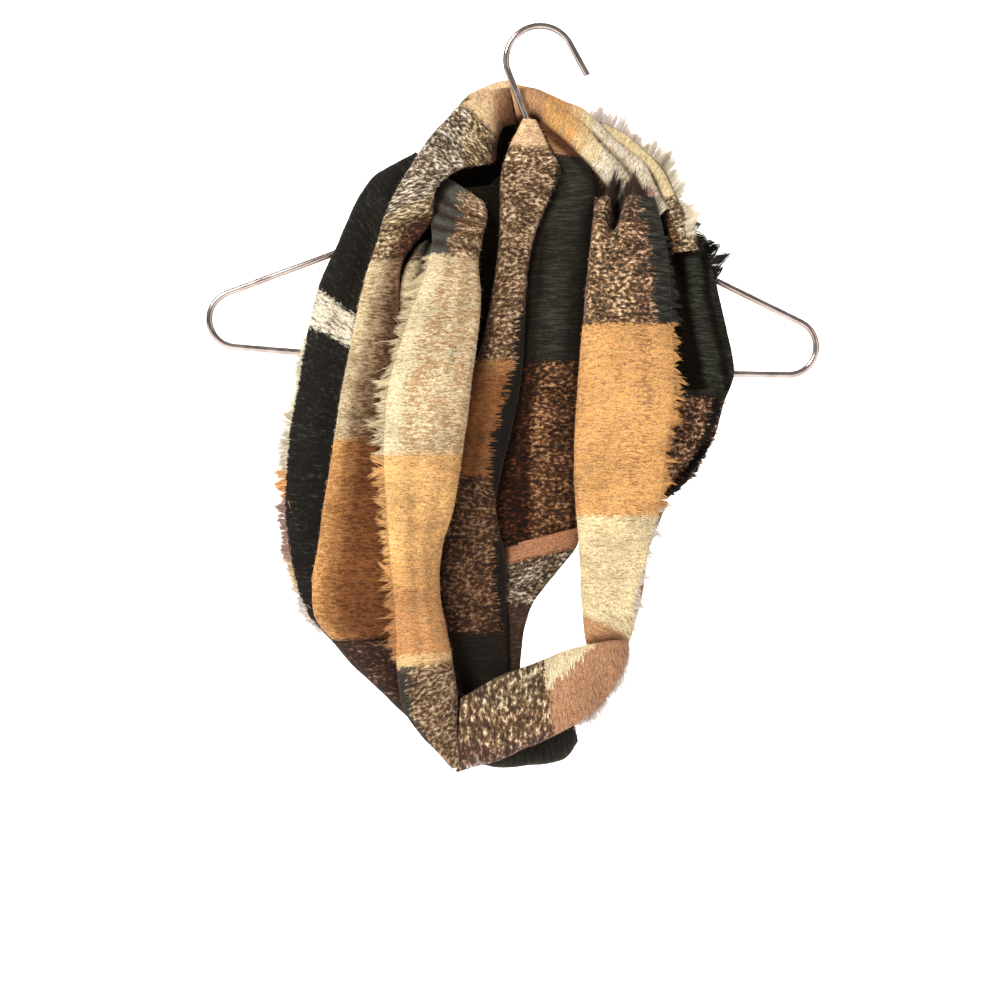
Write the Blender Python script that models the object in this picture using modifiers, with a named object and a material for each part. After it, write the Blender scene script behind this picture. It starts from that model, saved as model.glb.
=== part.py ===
"""Infinity scarf, doubled round the neck of a steel wire hanger.

Blender 4.5, metres, +Z up. The origin is where the hook rests on a peg: the inside top of the
hook. The hanger lies in the XZ plane and the scarf's front faces -Y.

The scarf is one ring of cloth that hangs as two turns. Each stretch of it that shows is a wall
of cloth through a short table of sections, in millimetres.
"""

import math

import bpy
from mathutils import Matrix, Vector

MM = 0.001  # every size below is in millimetres

# Hanger: one bent wire for the frame and one for the hook.
WIRE = 4.6  # diameter
HANGER_WIDTH = 420.0
CORNER_RADIUS = 19.0
ARM_SLOPE = math.radians(23.2)
APEX_RADIUS = 12.0
BAR_BOW = 3.5  # how far the bar sags at its middle
HANGER_TILT = math.radians(2.9)  # it hangs a little lower on its right
FRAME_MIDDLE = (-18.7, -207.8)  # x and z, half way between the corners' centres
HOOK_RADIUS = 23.25  # to the middle of the wire
HOOK_START = math.radians(201.7)  # where the shank meets the hook's arc
HOOK_END = math.radians(28.7)
TIP_LENGTH = 25.0
SHANK_LENGTH = 31.0  # its straight run below the arc
SHANK_BEND = 15.0  # how far its bend reaches
SEAT_GAP = 0.3  # between two pieces that touch

# Cloth.
CLOTH_WALL = 2.4
SECTION_POWER = 2.3  # 2 is an ellipse, more is a flatter fold
SECTION_POINTS = 11
ROLL_POINTS = 13
BACK_DEPTH = 0.7  # a fold's hidden half is this much shallower than its front
FRINGE_WALL = 1.6

# Columns of every section table:
#   left x, y, z, right x, y, z : the section's two edges, left and right along the stretch
#   swell : how far the section stands toward the front, or toward the back if negative
#   left wrap, right wrap : degrees that each edge turns on behind; negative at a raw edge

# Outer turn, left: from behind the hook, over the arm and down to the bottom.
OUTER_LEFT_PANEL = (
    (-21.2, 17, -37.7, -16.4, 17, -62.5, 11, 160, 10),
    (-34.3, 14, -40.9, -24.6, 14, -65, 12, 150, 10),
    (-52.1, 7, -49.4, -29.5, 7, -76.2, 13, 130, 10),
    (-67.7, -2, -65, -31.5, -2, -90.9, 13, 100, 20),
    (-82.5, -12, -86.7, -53.2, -11, -97.4, 13, 70, 30),
    (-95.8, -19, -110.5, -70.8, -18, -111.1, 12, 60, 30),
    (-105.1, -24, -131.3, -74.8, -22, -133.8, 12, 50, 30),
    (-109.8, -26, -146.4, -85.5, -25, -146.3, 12, 45, 30),
    (-114.4, -28, -159.4, -94.2, -27, -157.3, 12, 40, 25),
    (-123.1, -30, -193.9, -96.8, -29, -195.2, 13, 35, 20),
    (-129.8, -31, -227.6, -94.8, -30, -228.9, 15, 30, 15),
    (-135.1, -31, -254.6, -92.1, -30, -257.9, 16, 30, 10),
    (-139.9, -31, -288.2, -89.4, -30, -288.2, 17, 30, 10),
    (-145.2, -31, -321.9, -86.7, -30, -321.9, 17, 30, 10),
    (-150, -31, -352.2, -84, -30, -352.2, 17, 30, 10),
    (-154.1, -30, -382.5, -81.3, -30, -382.5, 17, 30, 10),
    (-150.7, -30, -404.1, -77.3, -30, -401.4, 16, 30, 10),
    (-140.6, -29, -416.3, -73.2, -29, -414.9, 14, 30, 10),
)

# The thin roll above it, behind the hook.
TOP_LEFT_LOBE = (
    (-21.8, 31, -30.9, -19.8, 31, -46.8, 8, 160, 10),
    (-33, 30, -33.1, -27.4, 30, -47, 8, 160, 10),
    (-46.1, 26, -39.9, -39.2, 27, -52.9, 8, 150, 10),
    (-57.1, 20, -51.1, -49.5, 21, -63.4, 8, 140, 10),
    (-67.3, 14, -63.6, -56.3, 14, -78.1, 8, 130, 10),
    (-77.6, 9, -75.9, -62.4, 8, -92.5, 8, 110, 10),
)

# A narrow fold that shows between the two left panels.
LEFT_PALE_FOLD = (
    (-83.7, -18, -149.7, -74.9, -16, -145.5, 6, 20, 10),
    (-91.7, -20, -163.4, -77.6, -18, -161.9, 8, 20, 10),
    (-95.7, -23, -179.9, -79.5, -20, -179.7, 9, 20, 10),
    (-96.3, -25, -203.7, -80.9, -21, -203.5, 9, 20, 10),
    (-94.3, -25, -224.6, -81.5, -23, -224.5, 8, 20, 10),
)

# Front turn, left: raw long edge at the left, folded edge at the right.
FRONT_LEFT_PANEL = (
    (-67.4, -5.4, -106.7, -36.9, -12, -109.1, 8, -35, 20),
    (-71.7, -8, -123, -36.2, -15, -123.7, 11, -35, 30),
    (-73.4, -22, -144, -38.9, -19, -141, 12, -35, 50),
    (-75.9, -31, -161.6, -41.6, -22, -159.5, 13, -35, 50),
    (-83.8, -36, -187.6, -40.2, -25, -186.8, 14, -35, 50),
    (-94.4, -40, -218.7, -42.9, -28, -218, 15, -35, 50),
    (-101.1, -42, -244.9, -46.3, -30, -244.4, 16, -35, 50),
    (-103.7, -43, -268.4, -49, -30, -268, 16, -35, 50),
    (-105, -43, -293.8, -53, -30, -292.3, 16, -35, 50),
    (-103.7, -43, -321.9, -58.4, -30, -325.3, 16, -35, 50),
    (-101, -43, -355.4, -66.5, -31, -355.6, 15, -35, 50),
    (-97.7, -43, -388.8, -67.8, -33, -389.2, 14, -35, 50),
    (-96.3, -43, -415.6, -61.7, -36, -415.9, 13, -35, 50),
    (-95.6, -44, -437, -58.2, -40, -435.9, 12, -35, 40),
    (-92.2, -46, -459.6, -55.5, -45, -455.6, 10, -35, 30),
    (-82.2, -47, -476.2, -54.8, -48, -474.8, 8, -35, 20),
    (-67.5, -48, -492.1, -54.1, -50, -490.6, 6, -35, 20),
    (-59.4, -50, -500.6, -53.4, -50, -500, 4, -30, 10),
)

# Front turn, bottom: from the mitre up to the right-hand fold.
FRONT_BAND = (
    (-52.1, -50, -503.3, -54.1, -45, -453.6, 6, 10, 20),
    (-37.4, -50, -498, -38.1, -46, -444.9, 9, 40, 30),
    (-19.4, -50, -492, -20.7, -45, -436.9, 10, 60, 40),
    (2.6, -49, -482, -3.3, -44, -429.6, 11, 60, 40),
    (22.7, -47, -471.5, 14.1, -43, -423, 11, 50, 40),
    (38.8, -44, -460.4, 29.5, -42, -419, 11, 40, 40),
    (48.3, -42, -449.1, 41.6, -42, -417, 10, 30, 40),
    (55.7, -41, -434.5, 51.7, -41, -416.4, 8, 20, 30),
    (59.7, -40, -422.4, 58.4, -40, -416.4, 3, 10, 10),
)

# Front turn, right: folded edge at the left, raw long edge at the right.
FRONT_RIGHT_PANEL = (
    (36.9, -22, -114.2, 73.5, -19, -113.9, 7, 10, -35),
    (34, -28, -136.4, 82, -25, -137.5, 12, 40, -35),
    (31.2, -30, -163.6, 86.1, -24, -162.4, 14, 50, -35),
    (29.1, -32, -194, 88.1, -25, -193.6, 15, 50, -35),
    (26.4, -33, -221, 89.3, -27, -220.7, 16, 50, -35),
    (24.4, -34, -254.7, 89.2, -29, -254.5, 16, 50, -35),
    (23, -35, -288.3, 83.7, -31, -288.2, 16, 50, -35),
    (23, -36, -321.9, 80.3, -32, -321.9, 16, 50, -35),
    (25, -37, -355.5, 72.2, -33, -355.5, 15, 50, -35),
    (27, -36, -385.7, 64.8, -33, -385.8, 13, 50, -35),
    (29.1, -35, -407.9, 61.4, -33, -407.3, 9, 40, -35),
    (31.9, -29, -424.4, 56.9, -29, -424.4, 5, 30, -35),
)

# Centre, left fold: it covers the hook's shank and hangs between the panels.
CENTRE_LEFT_FOLD = (
    (-11.7, -5, -61.9, -2.9, -8, -63, 2, 20, 0),
    (-19.9, -9, -80.2, 5.9, -14, -81.5, 5, 40, 0),
    (-25.4, -11, -96.1, 14, -17, -97.4, 6, 50, 0),
    (-27.4, -13, -118, 6.5, -18, -116.5, 7, 50, 0),
    (-28.1, -14, -139.9, -2.3, -18, -138.9, 7, 50, 0),
    (-30.1, -14, -162.3, -7.7, -18, -160.6, 7, 50, 0),
    (-34.2, -14, -186.1, -9.8, -18, -186.3, 7, 50, 0),
    (-38.3, -14, -207.8, -11.1, -18, -206.7, 7, 50, 0),
    (-45.1, -14, -230.9, -12.5, -18, -230.4, 7, 40, 0),
    (-53.2, -14, -260.8, -16.5, -17, -260.9, 7, 40, 0),
    (-60, -13, -291.3, -24.7, -17, -293.4, 8, 40, 0),
    (-63.4, -12, -321.9, -30.1, -17, -325.3, 7, 40, 0),
    (-66.8, -12, -362.7, -24.7, -14, -359.3, 8, 40, 0),
    (-65.5, -12, -396.7, -23.3, -12, -393.3, 8, 40, 10),
    (-62.8, -12, -423.9, -21.3, -11, -423.9, 8, 40, 10),
    (-57.3, -13, -458.5, -20.6, -12, -451.8, 7, 40, 10),
)

# Centre, right fold, down to its hem.
CENTRE_RIGHT_FOLD = (
    (-4.9, -4, -63.9, 2, -4, -65.9, 2, -20, 10),
    (3.3, -6, -77.8, 17.6, -5.6, -78.4, 4, -20, 20),
    (8.7, -8, -91.6, 31.2, -8, -93, 5, -20, 30),
    (3.3, -8, -112.1, 33.9, -8, -110.7, 9, -20, 40),
    (-4.2, -8, -131.1, 33.2, -8, -129.8, 10, -20, 10),
    (-9.7, -8, -155, 29.8, -8, -153.6, 10, -20, 10),
    (-13.8, -8, -185.6, 27.1, -8, -185.6, 10, -20, 10),
    (-15.1, -8, -219.7, 25.7, -8, -219.7, 10, -20, 10),
    (-21.3, -6, -253.7, 25.1, -8, -253.8, 10, -20, 10),
    (-27.4, -5, -287.8, 24.4, -8, -287.8, 9, -20, 10),
    (-35.6, -5, -321.9, 25.1, -8, -321.9, 8, -20, 10),
    (-34.2, -5, -354.6, 26.4, -8, -347.8, 8, -20, 10),
)

# The turned hem that ends the right fold, and its narrow run down to the bottom.
INNER_HEM = (
    (-23.3, -15, -350.4, 25.6, -15, -343.6, 4, 0, 0),
    (-22.6, -15, -362.6, 24.2, -15, -355.2, 4, 0, 0),
    (-22.6, -15, -374.9, 8.6, -15, -373.5, 4, 0, 0),
    (-22.6, -14, -389.8, -4.3, -14, -389.8, 3, 0, 0),
    (-22, -13, -406.8, -9.7, -13, -404.8, 2, 0, 0),
    (-19.9, -13, -436.1, -13.1, -13, -433.3, 2, 0, 0),
    (-19.9, -14, -451, -13.8, -14, -449.6, 2, 0, 0),
)

# Outer turn, bottom: it passes under the mitre and ends in a round fold.
OUTER_BOTTOM = (
    (-140.6, -29, -417.1, -72.6, -28, -416, 13, 35, 15),
    (-127.2, -28, -433.2, -67.9, -26, -431.3, 12, 40, 20),
    (-111.1, -27, -447.4, -61.2, -25, -443.5, 12, 40, 20),
    (-92.2, -26, -465, -53.1, -24, -453, 12, 40, 20),
    (-71.3, -25, -484, -42.3, -23, -458.5, 12, 50, 20),
    (-50.4, -24, -497.6, -31.5, -22, -462.6, 12, 60, 20),
    (-27.4, -24, -502.3, -18.6, -21, -463.4, 12, 60, 20),
    (-3.7, -24, -501, -5.7, -20, -461.4, 12, 60, 20),
    (15.2, -24, -493.6, 6.5, -19, -457.4, 11, 60, 20),
    (25.4, -22, -478.2, 13.3, -18, -450.7, 9, 50, 20),
)

# Outer turn, far left: over the arm, then a raw long edge down the side.
SIDE_LEFT_PANEL = (
    (-85, 6, -83.2, -64.4, 4, -106.7, 8, 60, 10),
    (-104.1, 2, -93.9, -78.7, -1, -120.9, 9, 60, 10),
    (-114.9, -2, -102.6, -86.6, -9, -142.1, 9, 50, 0),
    (-125, -5, -118.6, -92.7, -12, -160.1, 8, 40, 0),
    (-132.3, -8, -135.2, -96.7, -13, -176.5, 7, 20, 0),
    (-137.7, -9, -148.9, -99.4, -13, -189.4, 7, 10, 0),
    (-147.2, -9, -170.1, -102.2, -13, -206.4, 8, 10, 0),
    (-153.4, -9, -186.4, -103.5, -13, -220, 9, 10, 0),
    (-160.2, -9, -216.4, -102.2, -13, -240.4, 9, -20, 0),
    (-164.3, -9, -243.6, -100.1, -13, -260.7, 9, -20, 0),
    (-169.7, -9, -270.8, -98.1, -13, -281.1, 9, -20, 0),
    (-173.1, -9, -301.5, -96.7, -13, -306.9, 9, -20, 0),
    (-173.8, -9, -328.7, -95.4, -13, -332.8, 9, -20, 0),
    (-170.4, -9, -355.9, -94, -13, -361.3, 9, -20, 0),
    (-165.6, -9, -379.8, -91.3, -13, -387.1, 9, -20, 0),
    (-157.4, -10, -400.2, -87.2, -13, -408.9, 8, -20, 0),
    (-140.9, -12, -419.1, -79, -13, -427.2, 6, -20, 0),
)

# Right shoulder, front roll, from behind the hook.
TOP_RIGHT_FRONT_ROLL = (
    (-14.8, 16, -57.1, -19.5, 16, -36.5, 11, 10, 160),
    (-1.9, 13, -58.9, 0.1, 13, -40.3, 11, 10, 160),
    (6.9, 7, -71.4, 13.8, 7, -52.1, 13, 10, 150),
    (19.8, 2, -82.3, 28.7, 2, -63.8, 12, 10, 140),
    (33.4, -2, -93, 42.3, -2, -80, 10, 10, 120),
    (43.5, -7, -106.5, 55.8, -7, -93.6, 10, 10, 100),
    (52.2, -11, -119.2, 67.8, -11, -110.3, 9, 10, 80),
)

# Right shoulder, middle roll.
TOP_RIGHT_MIDDLE_ROLL = (
    (-18, 32, -46.7, -20.2, 32, -30.7, 8, 10, 160),
    (-3.1, 32, -49.5, -3.1, 32, -35.6, 8, 10, 160),
    (10.1, 28, -56.3, 12.2, 29, -42.9, 8, 10, 150),
    (23.8, 22, -64.7, 27.9, 23, -50.7, 8, 10, 150),
    (36.1, 17, -73.6, 40.2, 18, -61, 8, 10, 150),
    (45.5, 12, -84.5, 49.7, 13, -71.3, 8, 10, 140),
    (57.6, 5, -95.6, 61.1, 6, -82.5, 9, 10, 130),
    (66.9, -2, -108, 73, -2, -95, 9, 10, 110),
    (72.1, -8, -120.2, 79.6, -8, -110.7, 8, 10, 90),
)

# Right shoulder, outer roll, which ends in the side panel.
TOP_RIGHT_OUTER_ROLL = (
    (6, 33, -68.8, 8.1, 38, -58.4, 6, 20, 120),
    (19.9, 34, -70.1, 23.5, 38, -58.4, 7, 20, 130),
    (32.3, 31, -71.8, 37.3, 33, -58.4, 7, 20, 130),
    (44.7, 26, -75.2, 48.9, 27, -62.6, 7, 20, 130),
    (54.2, 21, -80.7, 59, 21, -69.6, 7, 20, 130),
    (64.3, 15, -89, 69.8, 15, -79.3, 8, 20, 130),
    (76.8, 5, -103.2, 82.3, 5, -93.6, 9, 20, 120),
    (82.6, -3, -119.1, 92.8, -3, -113.6, 9, 20, 90),
    (84.1, -12, -134.9, 101.1, -12, -129.5, 8, 0, 50),
    (86.4, -19, -145.7, 105.5, -18, -142.3, 6, 0, 20),
)

# Outer turn, far right.
SIDE_RIGHT_PANEL = (
    (34.6, -8, -137.3, 108, -11, -145.2, 7, 0, 30),
    (31.8, -9, -154.4, 112.8, -10, -151.8, 11, 0, 30),
    (29.1, -10, -173.5, 118.9, -10, -168.8, 13, 0, 40),
    (27.7, -10, -196, 124.4, -10, -194, 14, 0, 40),
    (27, -10, -216.4, 129.1, -10, -218.5, 15, 0, 40),
    (26.4, -10, -236.8, 130.5, -10, -237.5, 15, 0, 40),
    (26.4, -10, -257.2, 124.4, -10, -255.9, 15, 0, 40),
    (26.4, -10, -274.3, 120.3, -10, -274.3, 14, 0, 40),
    (27, -10, -294.7, 110.1, -10, -294.7, 13, 0, 30),
    (27.7, -10, -308.3, 99.9, -10, -309.6, 12, 0, 30),
    (28.4, -10, -318.5, 86.9, -10, -321.9, 12, 0, 30),
)

# Its run down behind the front turn to the bottom.
SIDE_RIGHT_TAIL = (
    (28.4, -10, -319.4, 86.9, -10, -322.9, 12, 0, 30),
    (33.2, -10, -355.9, 74.7, -10, -354.6, 11, 20, 30),
    (32.5, -10, -390, 69.2, -10, -386.6, 11, 30, 30),
    (32.5, -10, -417.2, 63.1, -10, -411.7, 10, 30, 30),
    (31.1, -10, -439, 54.3, -10, -434.2, 9, 30, 30),
    (23, -10, -456.7, 43.3, -11, -455.2, 9, 30, 30),
    (16.1, -13, -463.2, 35.1, -14, -465.9, 8, 30, 30),
)

# Back of the left side, in front of the hanger's bar.
BACK_LEFT_LAYER = (
    (-65.6, -6.5, -110.5, -21.9, -6, -106.4, 1, 0, 0),
    (-77.9, -6.5, -131, -21.9, -6, -122.8, 1, 0, 0),
    (-96.9, -6.5, -148.7, -21.9, -6, -135, 1, 0, 0),
    (-118.8, -6.5, -165.1, -21.9, -6, -148, 1, 0, 0),
    (-131, -7, -192.4, -24.7, -5.4, -188.9, 1, 0, 0),
    (-140.5, -7, -223.1, -27.4, -5.4, -223, 1, 0, 0),
    (-146, -7, -250.3, -31.5, -5.4, -250.3, -1, 0, 0),
    (-151.5, -6, -281, -39.7, -6, -281, -6, 0, 0),
    (-155.6, -6, -315.1, -47.9, -5, -315.1, -9, 0, 0),
    (-155.6, -6, -349.2, -52, -5, -349.2, -10, 0, 0),
    (-151.5, -6, -383.3, -53.3, -5, -383.3, -9, 0, 0),
    (-140.5, -7, -413.9, -53.3, -6, -414, -7, 0, 0),
    (-114.6, -9, -436.3, -51.9, -8, -433.6, -5, 0, 0),
    (-88.7, -10, -458, -45.1, -9, -448.6, -4, 0, 0),
)

# Back of the neck: the gathered width that lies over both arms.
BACK_COLLAR = (
    (-64.4, 1.5, -101.5, -49.3, 0, -116, -5, 20, 20),
    (-49.3, 4, -95.7, -36.3, 2, -111.7, -9, 40, 30),
    (-33.6, 11.2, -83.9, -24.7, 9, -104.8, -12, 50, 50),
    (-23.9, 18.5, -67.2, -19.1, 12, -100.3, -14, 50, 50),
    (-12.9, 21, -60.6, -12.9, 13, -97.5, -15, 50, 50),
    (4.2, 10, -73.1, -1.3, 8, -103.5, -14, 50, 50),
    (22.7, 6, -85.2, 13.7, 2, -114.4, -10, 40, 30),
    (34.9, 2.5, -95.2, 25.3, 1.2, -120, -7, 30, 20),
    (45.8, 1, -109.8, 36.2, 1, -125.5, -5, 20, 20),
)

# Creases, each a trough (or a ridge if negative) along a stretch. Columns:
#   stretch, start and end along it (0 to 1), place at the start and at the end across it
#   (0 to 1), width as a share of the section, depth
CREASES = (
    ("front_left_panel", 0.05, 0.75, 0.62, 0.55, 0.10, 2.5),
    ("front_left_panel", 0.35, 1.00, 0.25, 0.40, 0.08, 2.0),
    ("front_right_panel", -0.20, 0.16, 0.34, 0.46, 0.09, 7.0),
    ("front_right_panel", 0.30, 0.95, 0.60, 0.48, 0.12, 2.5),
    ("outer_left_panel", 0.40, 0.95, 0.42, 0.55, 0.12, 3.0),
    ("side_left_panel", 0.15, 0.90, 0.45, 0.35, 0.12, 3.0),
    ("side_right_panel", 0.00, 0.80, 0.70, 0.78, 0.10, 5.0),
    ("side_right_panel", 0.05, 0.70, 0.42, 0.50, 0.09, 4.0),
    ("centre_left_fold", 0.25, 1.00, 0.60, 0.45, 0.12, 2.5),
    ("outer_bottom", 0.10, 0.95, 0.50, 0.60, 0.14, 3.0),
)

# Fringe: each strip stands on a raw edge of a stretch, or across its first section. Columns:
#   strip, stretch, edge, first and last section (or point across), reach
FRINGES = (
    ("front_left_fringe", "front_left_panel", "left", 3, 13, 6.0),
    ("front_right_fringe", "front_right_panel", "right", 1, 10, 4.0),
    ("front_right_brush", "front_right_panel", "start", 4, 9, 8.0),
    ("front_band_fringe", "front_band", "left", 4, 6, 3.0),
    ("side_left_fringe", "side_left_panel", "left", 8, 15, 3.0),
    ("side_right_fringe", "side_right_panel", "right", 0, 2, 7.0),
    ("top_right_fringe", "top_right_outer_roll", "right", 4, 9, 5.0),
)


def clean_scene():
    for thing in list(bpy.data.objects):
        bpy.data.objects.remove(thing, do_unlink=True)


def make_material(name, colour, roughness, metallic=0.0):
    material = bpy.data.materials.new(name)
    material.use_nodes = True
    shader = material.node_tree.nodes["Principled BSDF"]
    shader.inputs["Base Color"].default_value = (*colour, 1.0)
    shader.inputs["Roughness"].default_value = roughness
    shader.inputs["Metallic"].default_value = metallic
    material.diffuse_color = (*colour, 1.0)
    return material


def add_object(name, data, material, collection):
    thing = bpy.data.objects.new(name, data)
    data.materials.append(material)
    collection.objects.link(thing)
    return thing


# ---- hanger ----------------------------------------------------------------------------


def arc(centre, radius, start, end, steps):
    """Points on an arc in the XZ plane, as (x, z)."""
    return [
        (
            centre[0] + radius * math.cos(start + (end - start) * k / steps),
            centre[1] + radius * math.sin(start + (end - start) * k / steps),
        )
        for k in range(steps + 1)
    ]


def make_wire(name, points, closed, material, collection):
    """A round wire through (x, z) points in millimetres."""
    curve = bpy.data.curves.new(name, "CURVE")
    curve.dimensions = "3D"
    curve.bevel_depth = WIRE / 2 * MM
    curve.bevel_resolution = 3
    curve.use_fill_caps = True
    spline = curve.splines.new("POLY")
    spline.points.add(len(points) - 1)
    for point, (x, z) in zip(spline.points, points):
        point.co = (x * MM, 0.0, z * MM, 1.0)
    spline.use_cyclic_u = closed
    spline.use_smooth = True
    return add_object(name, curve, material, collection)


def apex_of_frame():
    """Height of the apex arc's centre above the corners' centres, in the untilted frame."""
    span = HANGER_WIDTH / 2 - WIRE / 2 - CORNER_RADIUS
    arms_meet = CORNER_RADIUS / math.cos(ARM_SLOPE) + span * math.tan(ARM_SLOPE)
    return arms_meet - APEX_RADIUS / math.cos(ARM_SLOPE)


def tilted(point):
    """A point of the untilted frame, as (x, z), in the part's own frame."""
    x, z = Matrix.Rotation(-HANGER_TILT, 2) @ Vector(point)
    return (FRAME_MIDDLE[0] + x, FRAME_MIDDLE[1] + z)


def frame_points():
    """The frame's wire, once round: right corner, apex, left corner, bowed bar."""
    span = HANGER_WIDTH / 2 - WIRE / 2 - CORNER_RADIUS
    quarter = math.pi / 2
    right = arc((span, 0), CORNER_RADIUS, -quarter, quarter - ARM_SLOPE, 9)
    apex = arc((0, apex_of_frame()), APEX_RADIUS, quarter - ARM_SLOPE, quarter + ARM_SLOPE, 4)
    left = arc((-span, 0), CORNER_RADIUS, quarter + ARM_SLOPE, 3 * quarter, 9)
    steps = 8
    bar = []
    for k in range(1, steps):
        along = -1 + 2 * k / steps
        bar.append((span * along, -CORNER_RADIUS - BAR_BOW * (1 - along * along)))
    return [tilted(point) for point in right + apex + left + bar]


def hook_points():
    """The hook's wire, from its tip to its seat on the frame's apex."""
    centre = (0.0, WIRE / 2 - HOOK_RADIUS)
    bend = arc(centre, HOOK_RADIUS, HOOK_END, HOOK_START, 16)
    tip_direction = Vector((math.sin(HOOK_END), -math.cos(HOOK_END)))
    shank_direction = Vector((-math.sin(HOOK_START), math.cos(HOOK_START)))
    tip = Vector(bend[0]) + tip_direction * TIP_LENGTH
    top = Vector(bend[-1]) + shank_direction * SHANK_LENGTH
    seat_height = apex_of_frame() + APEX_RADIUS + WIRE / 2 + SEAT_GAP
    seat = Vector(tilted((0.0, seat_height)))
    down = seat - Vector(tilted((0.0, seat_height + 1.0)))
    points = [tuple(tip)] + bend
    steps = 7
    for k in range(steps + 1):
        t = k / steps
        points.append(
            tuple(
                top * (1 - t) ** 3
                + (top + shank_direction * SHANK_BEND) * 3 * t * (1 - t) ** 2
                + (seat - down * SHANK_BEND) * 3 * t * t * (1 - t)
                + seat * t**3
            )
        )
    return points


# ---- cloth -----------------------------------------------------------------------------


def signed_power(value, power):
    return math.copysign(abs(value) ** power, value)


def crease_depth(stretch, along, across):
    """How far the stretch's creases press its wall in, in millimetres."""
    depth = 0.0
    for name, start, end, across_start, across_end, width, most in CREASES:
        if name != stretch or not start < along < end:
            continue
        share = (along - start) / (end - start)
        place = across_start + (across_end - across_start) * share
        fade = math.sin(math.pi * share) ** 0.5
        depth += most * fade * math.exp(-(((across - place) / width) ** 2))
    return depth


def section(stretch, row, along, count):
    """The points across one section, from its left edge to its right edge."""
    left, right = Vector(row[0:3]), Vector(row[3:6])
    swell, left_wrap, right_wrap = row[6:9]
    first, last = math.radians(180 + left_wrap), math.radians(-right_wrap)
    reach_left = math.cos(first) if left_wrap < 0 else -1.0
    reach_right = math.cos(last) if right_wrap < 0 else 1.0
    points = []
    for k in range(count):
        across = k / (count - 1)
        angle = first + (last - first) * across
        sideways = signed_power(math.cos(angle), 2 / SECTION_POWER)
        low = signed_power(reach_left, 2 / SECTION_POWER)
        high = signed_power(reach_right, 2 / SECTION_POWER)
        share = (sideways - low) / (high - low)
        rise = signed_power(math.sin(angle), 2 / SECTION_POWER) * swell
        if math.sin(angle) < 0:
            rise *= BACK_DEPTH
        else:
            rise -= crease_depth(stretch, along, across) * math.copysign(1, swell)
        point = left.lerp(right, share)
        point.y -= rise
        points.append(point)
    return points


def add_shell(name, rows_of_points, wall, material, collection):
    """A wall of cloth through rows of points, with its outer face on them."""
    count = len(rows_of_points[0])
    vertices = [point * MM for row in rows_of_points for point in row]
    faces = []
    for r in range(len(rows_of_points) - 1):
        for k in range(count - 1):
            corner = r * count + k
            faces.append((corner, corner + count, corner + count + 1, corner + 1))
    mesh = bpy.data.meshes.new(name)
    mesh.from_pydata(vertices, [], faces)
    mesh.shade_smooth()
    thing = add_object(name, mesh, material, collection)
    solidify = thing.modifiers.new("cloth wall", "SOLIDIFY")
    solidify.thickness = wall * MM
    solidify.offset = -1.0
    return thing


def make_stretch(name, rows, count, material, collection):
    sections = [
        section(name, row, k / (len(rows) - 1), count) for k, row in enumerate(rows)
    ]
    add_shell(name, sections, CLOTH_WALL, material, collection)
    return sections


def across_of(points):
    """A key that measures how far a point lies across the front of its section."""
    middle = len(points) // 2
    direction = points[middle + 1] - points[middle - 1]
    direction.y = 0.0
    return direction.dot


def make_fringe(name, sections, edge, first, last, reach, material, collection):
    """A plain strip that stands out from a raw edge, flat in the plane of the front."""
    if edge == "start":
        pairs = [(sections[0][k], sections[1][k]) for k in range(first, last + 1)]
    else:
        pairs = []
        for points in sections[first : last + 1]:
            left, right = min(points, key=across_of(points)), max(points, key=across_of(points))
            pairs.append((left, right) if edge == "left" else (right, left))
    strip = []
    for k, (root, far) in enumerate(pairs):
        along = pairs[min(k + 1, len(pairs) - 1)][0] - pairs[max(k - 1, 0)][0]
        outward = Vector((along.z, 0.0, -along.x)).normalized()
        if outward.dot(root - far) < 0:
            outward.negate()
        inner, outer = root + outward * SEAT_GAP, root + outward * (SEAT_GAP + reach)
        strip.append((outer, inner) if edge == "left" else (inner, outer))
    add_shell(name, strip, FRINGE_WALL, material, collection)


# ---- the part --------------------------------------------------------------------------

# Columns: stretch, its sections, points across it, colour
STRETCHES = (
    ("outer_left_panel", OUTER_LEFT_PANEL, ROLL_POINTS, "camel"),
    ("top_left_lobe", TOP_LEFT_LOBE, ROLL_POINTS, "camel"),
    ("left_pale_fold", LEFT_PALE_FOLD, SECTION_POINTS, "cream"),
    ("front_left_panel", FRONT_LEFT_PANEL, SECTION_POINTS, "cream"),
    ("front_band", FRONT_BAND, SECTION_POINTS, "speckle"),
    ("front_right_panel", FRONT_RIGHT_PANEL, SECTION_POINTS, "camel"),
    ("centre_left_fold", CENTRE_LEFT_FOLD, SECTION_POINTS, "speckle"),
    ("centre_right_fold", CENTRE_RIGHT_FOLD, SECTION_POINTS, "dark"),
    ("inner_hem", INNER_HEM, SECTION_POINTS, "speckle"),
    ("outer_bottom", OUTER_BOTTOM, SECTION_POINTS, "dark"),
    ("side_left_panel", SIDE_LEFT_PANEL, SECTION_POINTS, "dark"),
    ("top_right_front_roll", TOP_RIGHT_FRONT_ROLL, ROLL_POINTS, "camel"),
    ("top_right_middle_roll", TOP_RIGHT_MIDDLE_ROLL, ROLL_POINTS, "camel"),
    ("top_right_outer_roll", TOP_RIGHT_OUTER_ROLL, ROLL_POINTS, "cream"),
    ("side_right_panel", SIDE_RIGHT_PANEL, SECTION_POINTS, "dark"),
    ("side_right_tail", SIDE_RIGHT_TAIL, SECTION_POINTS, "speckle"),
    ("back_left_layer", BACK_LEFT_LAYER, SECTION_POINTS, "speckle"),
    ("back_collar", BACK_COLLAR, SECTION_POINTS, "camel"),
)

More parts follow.
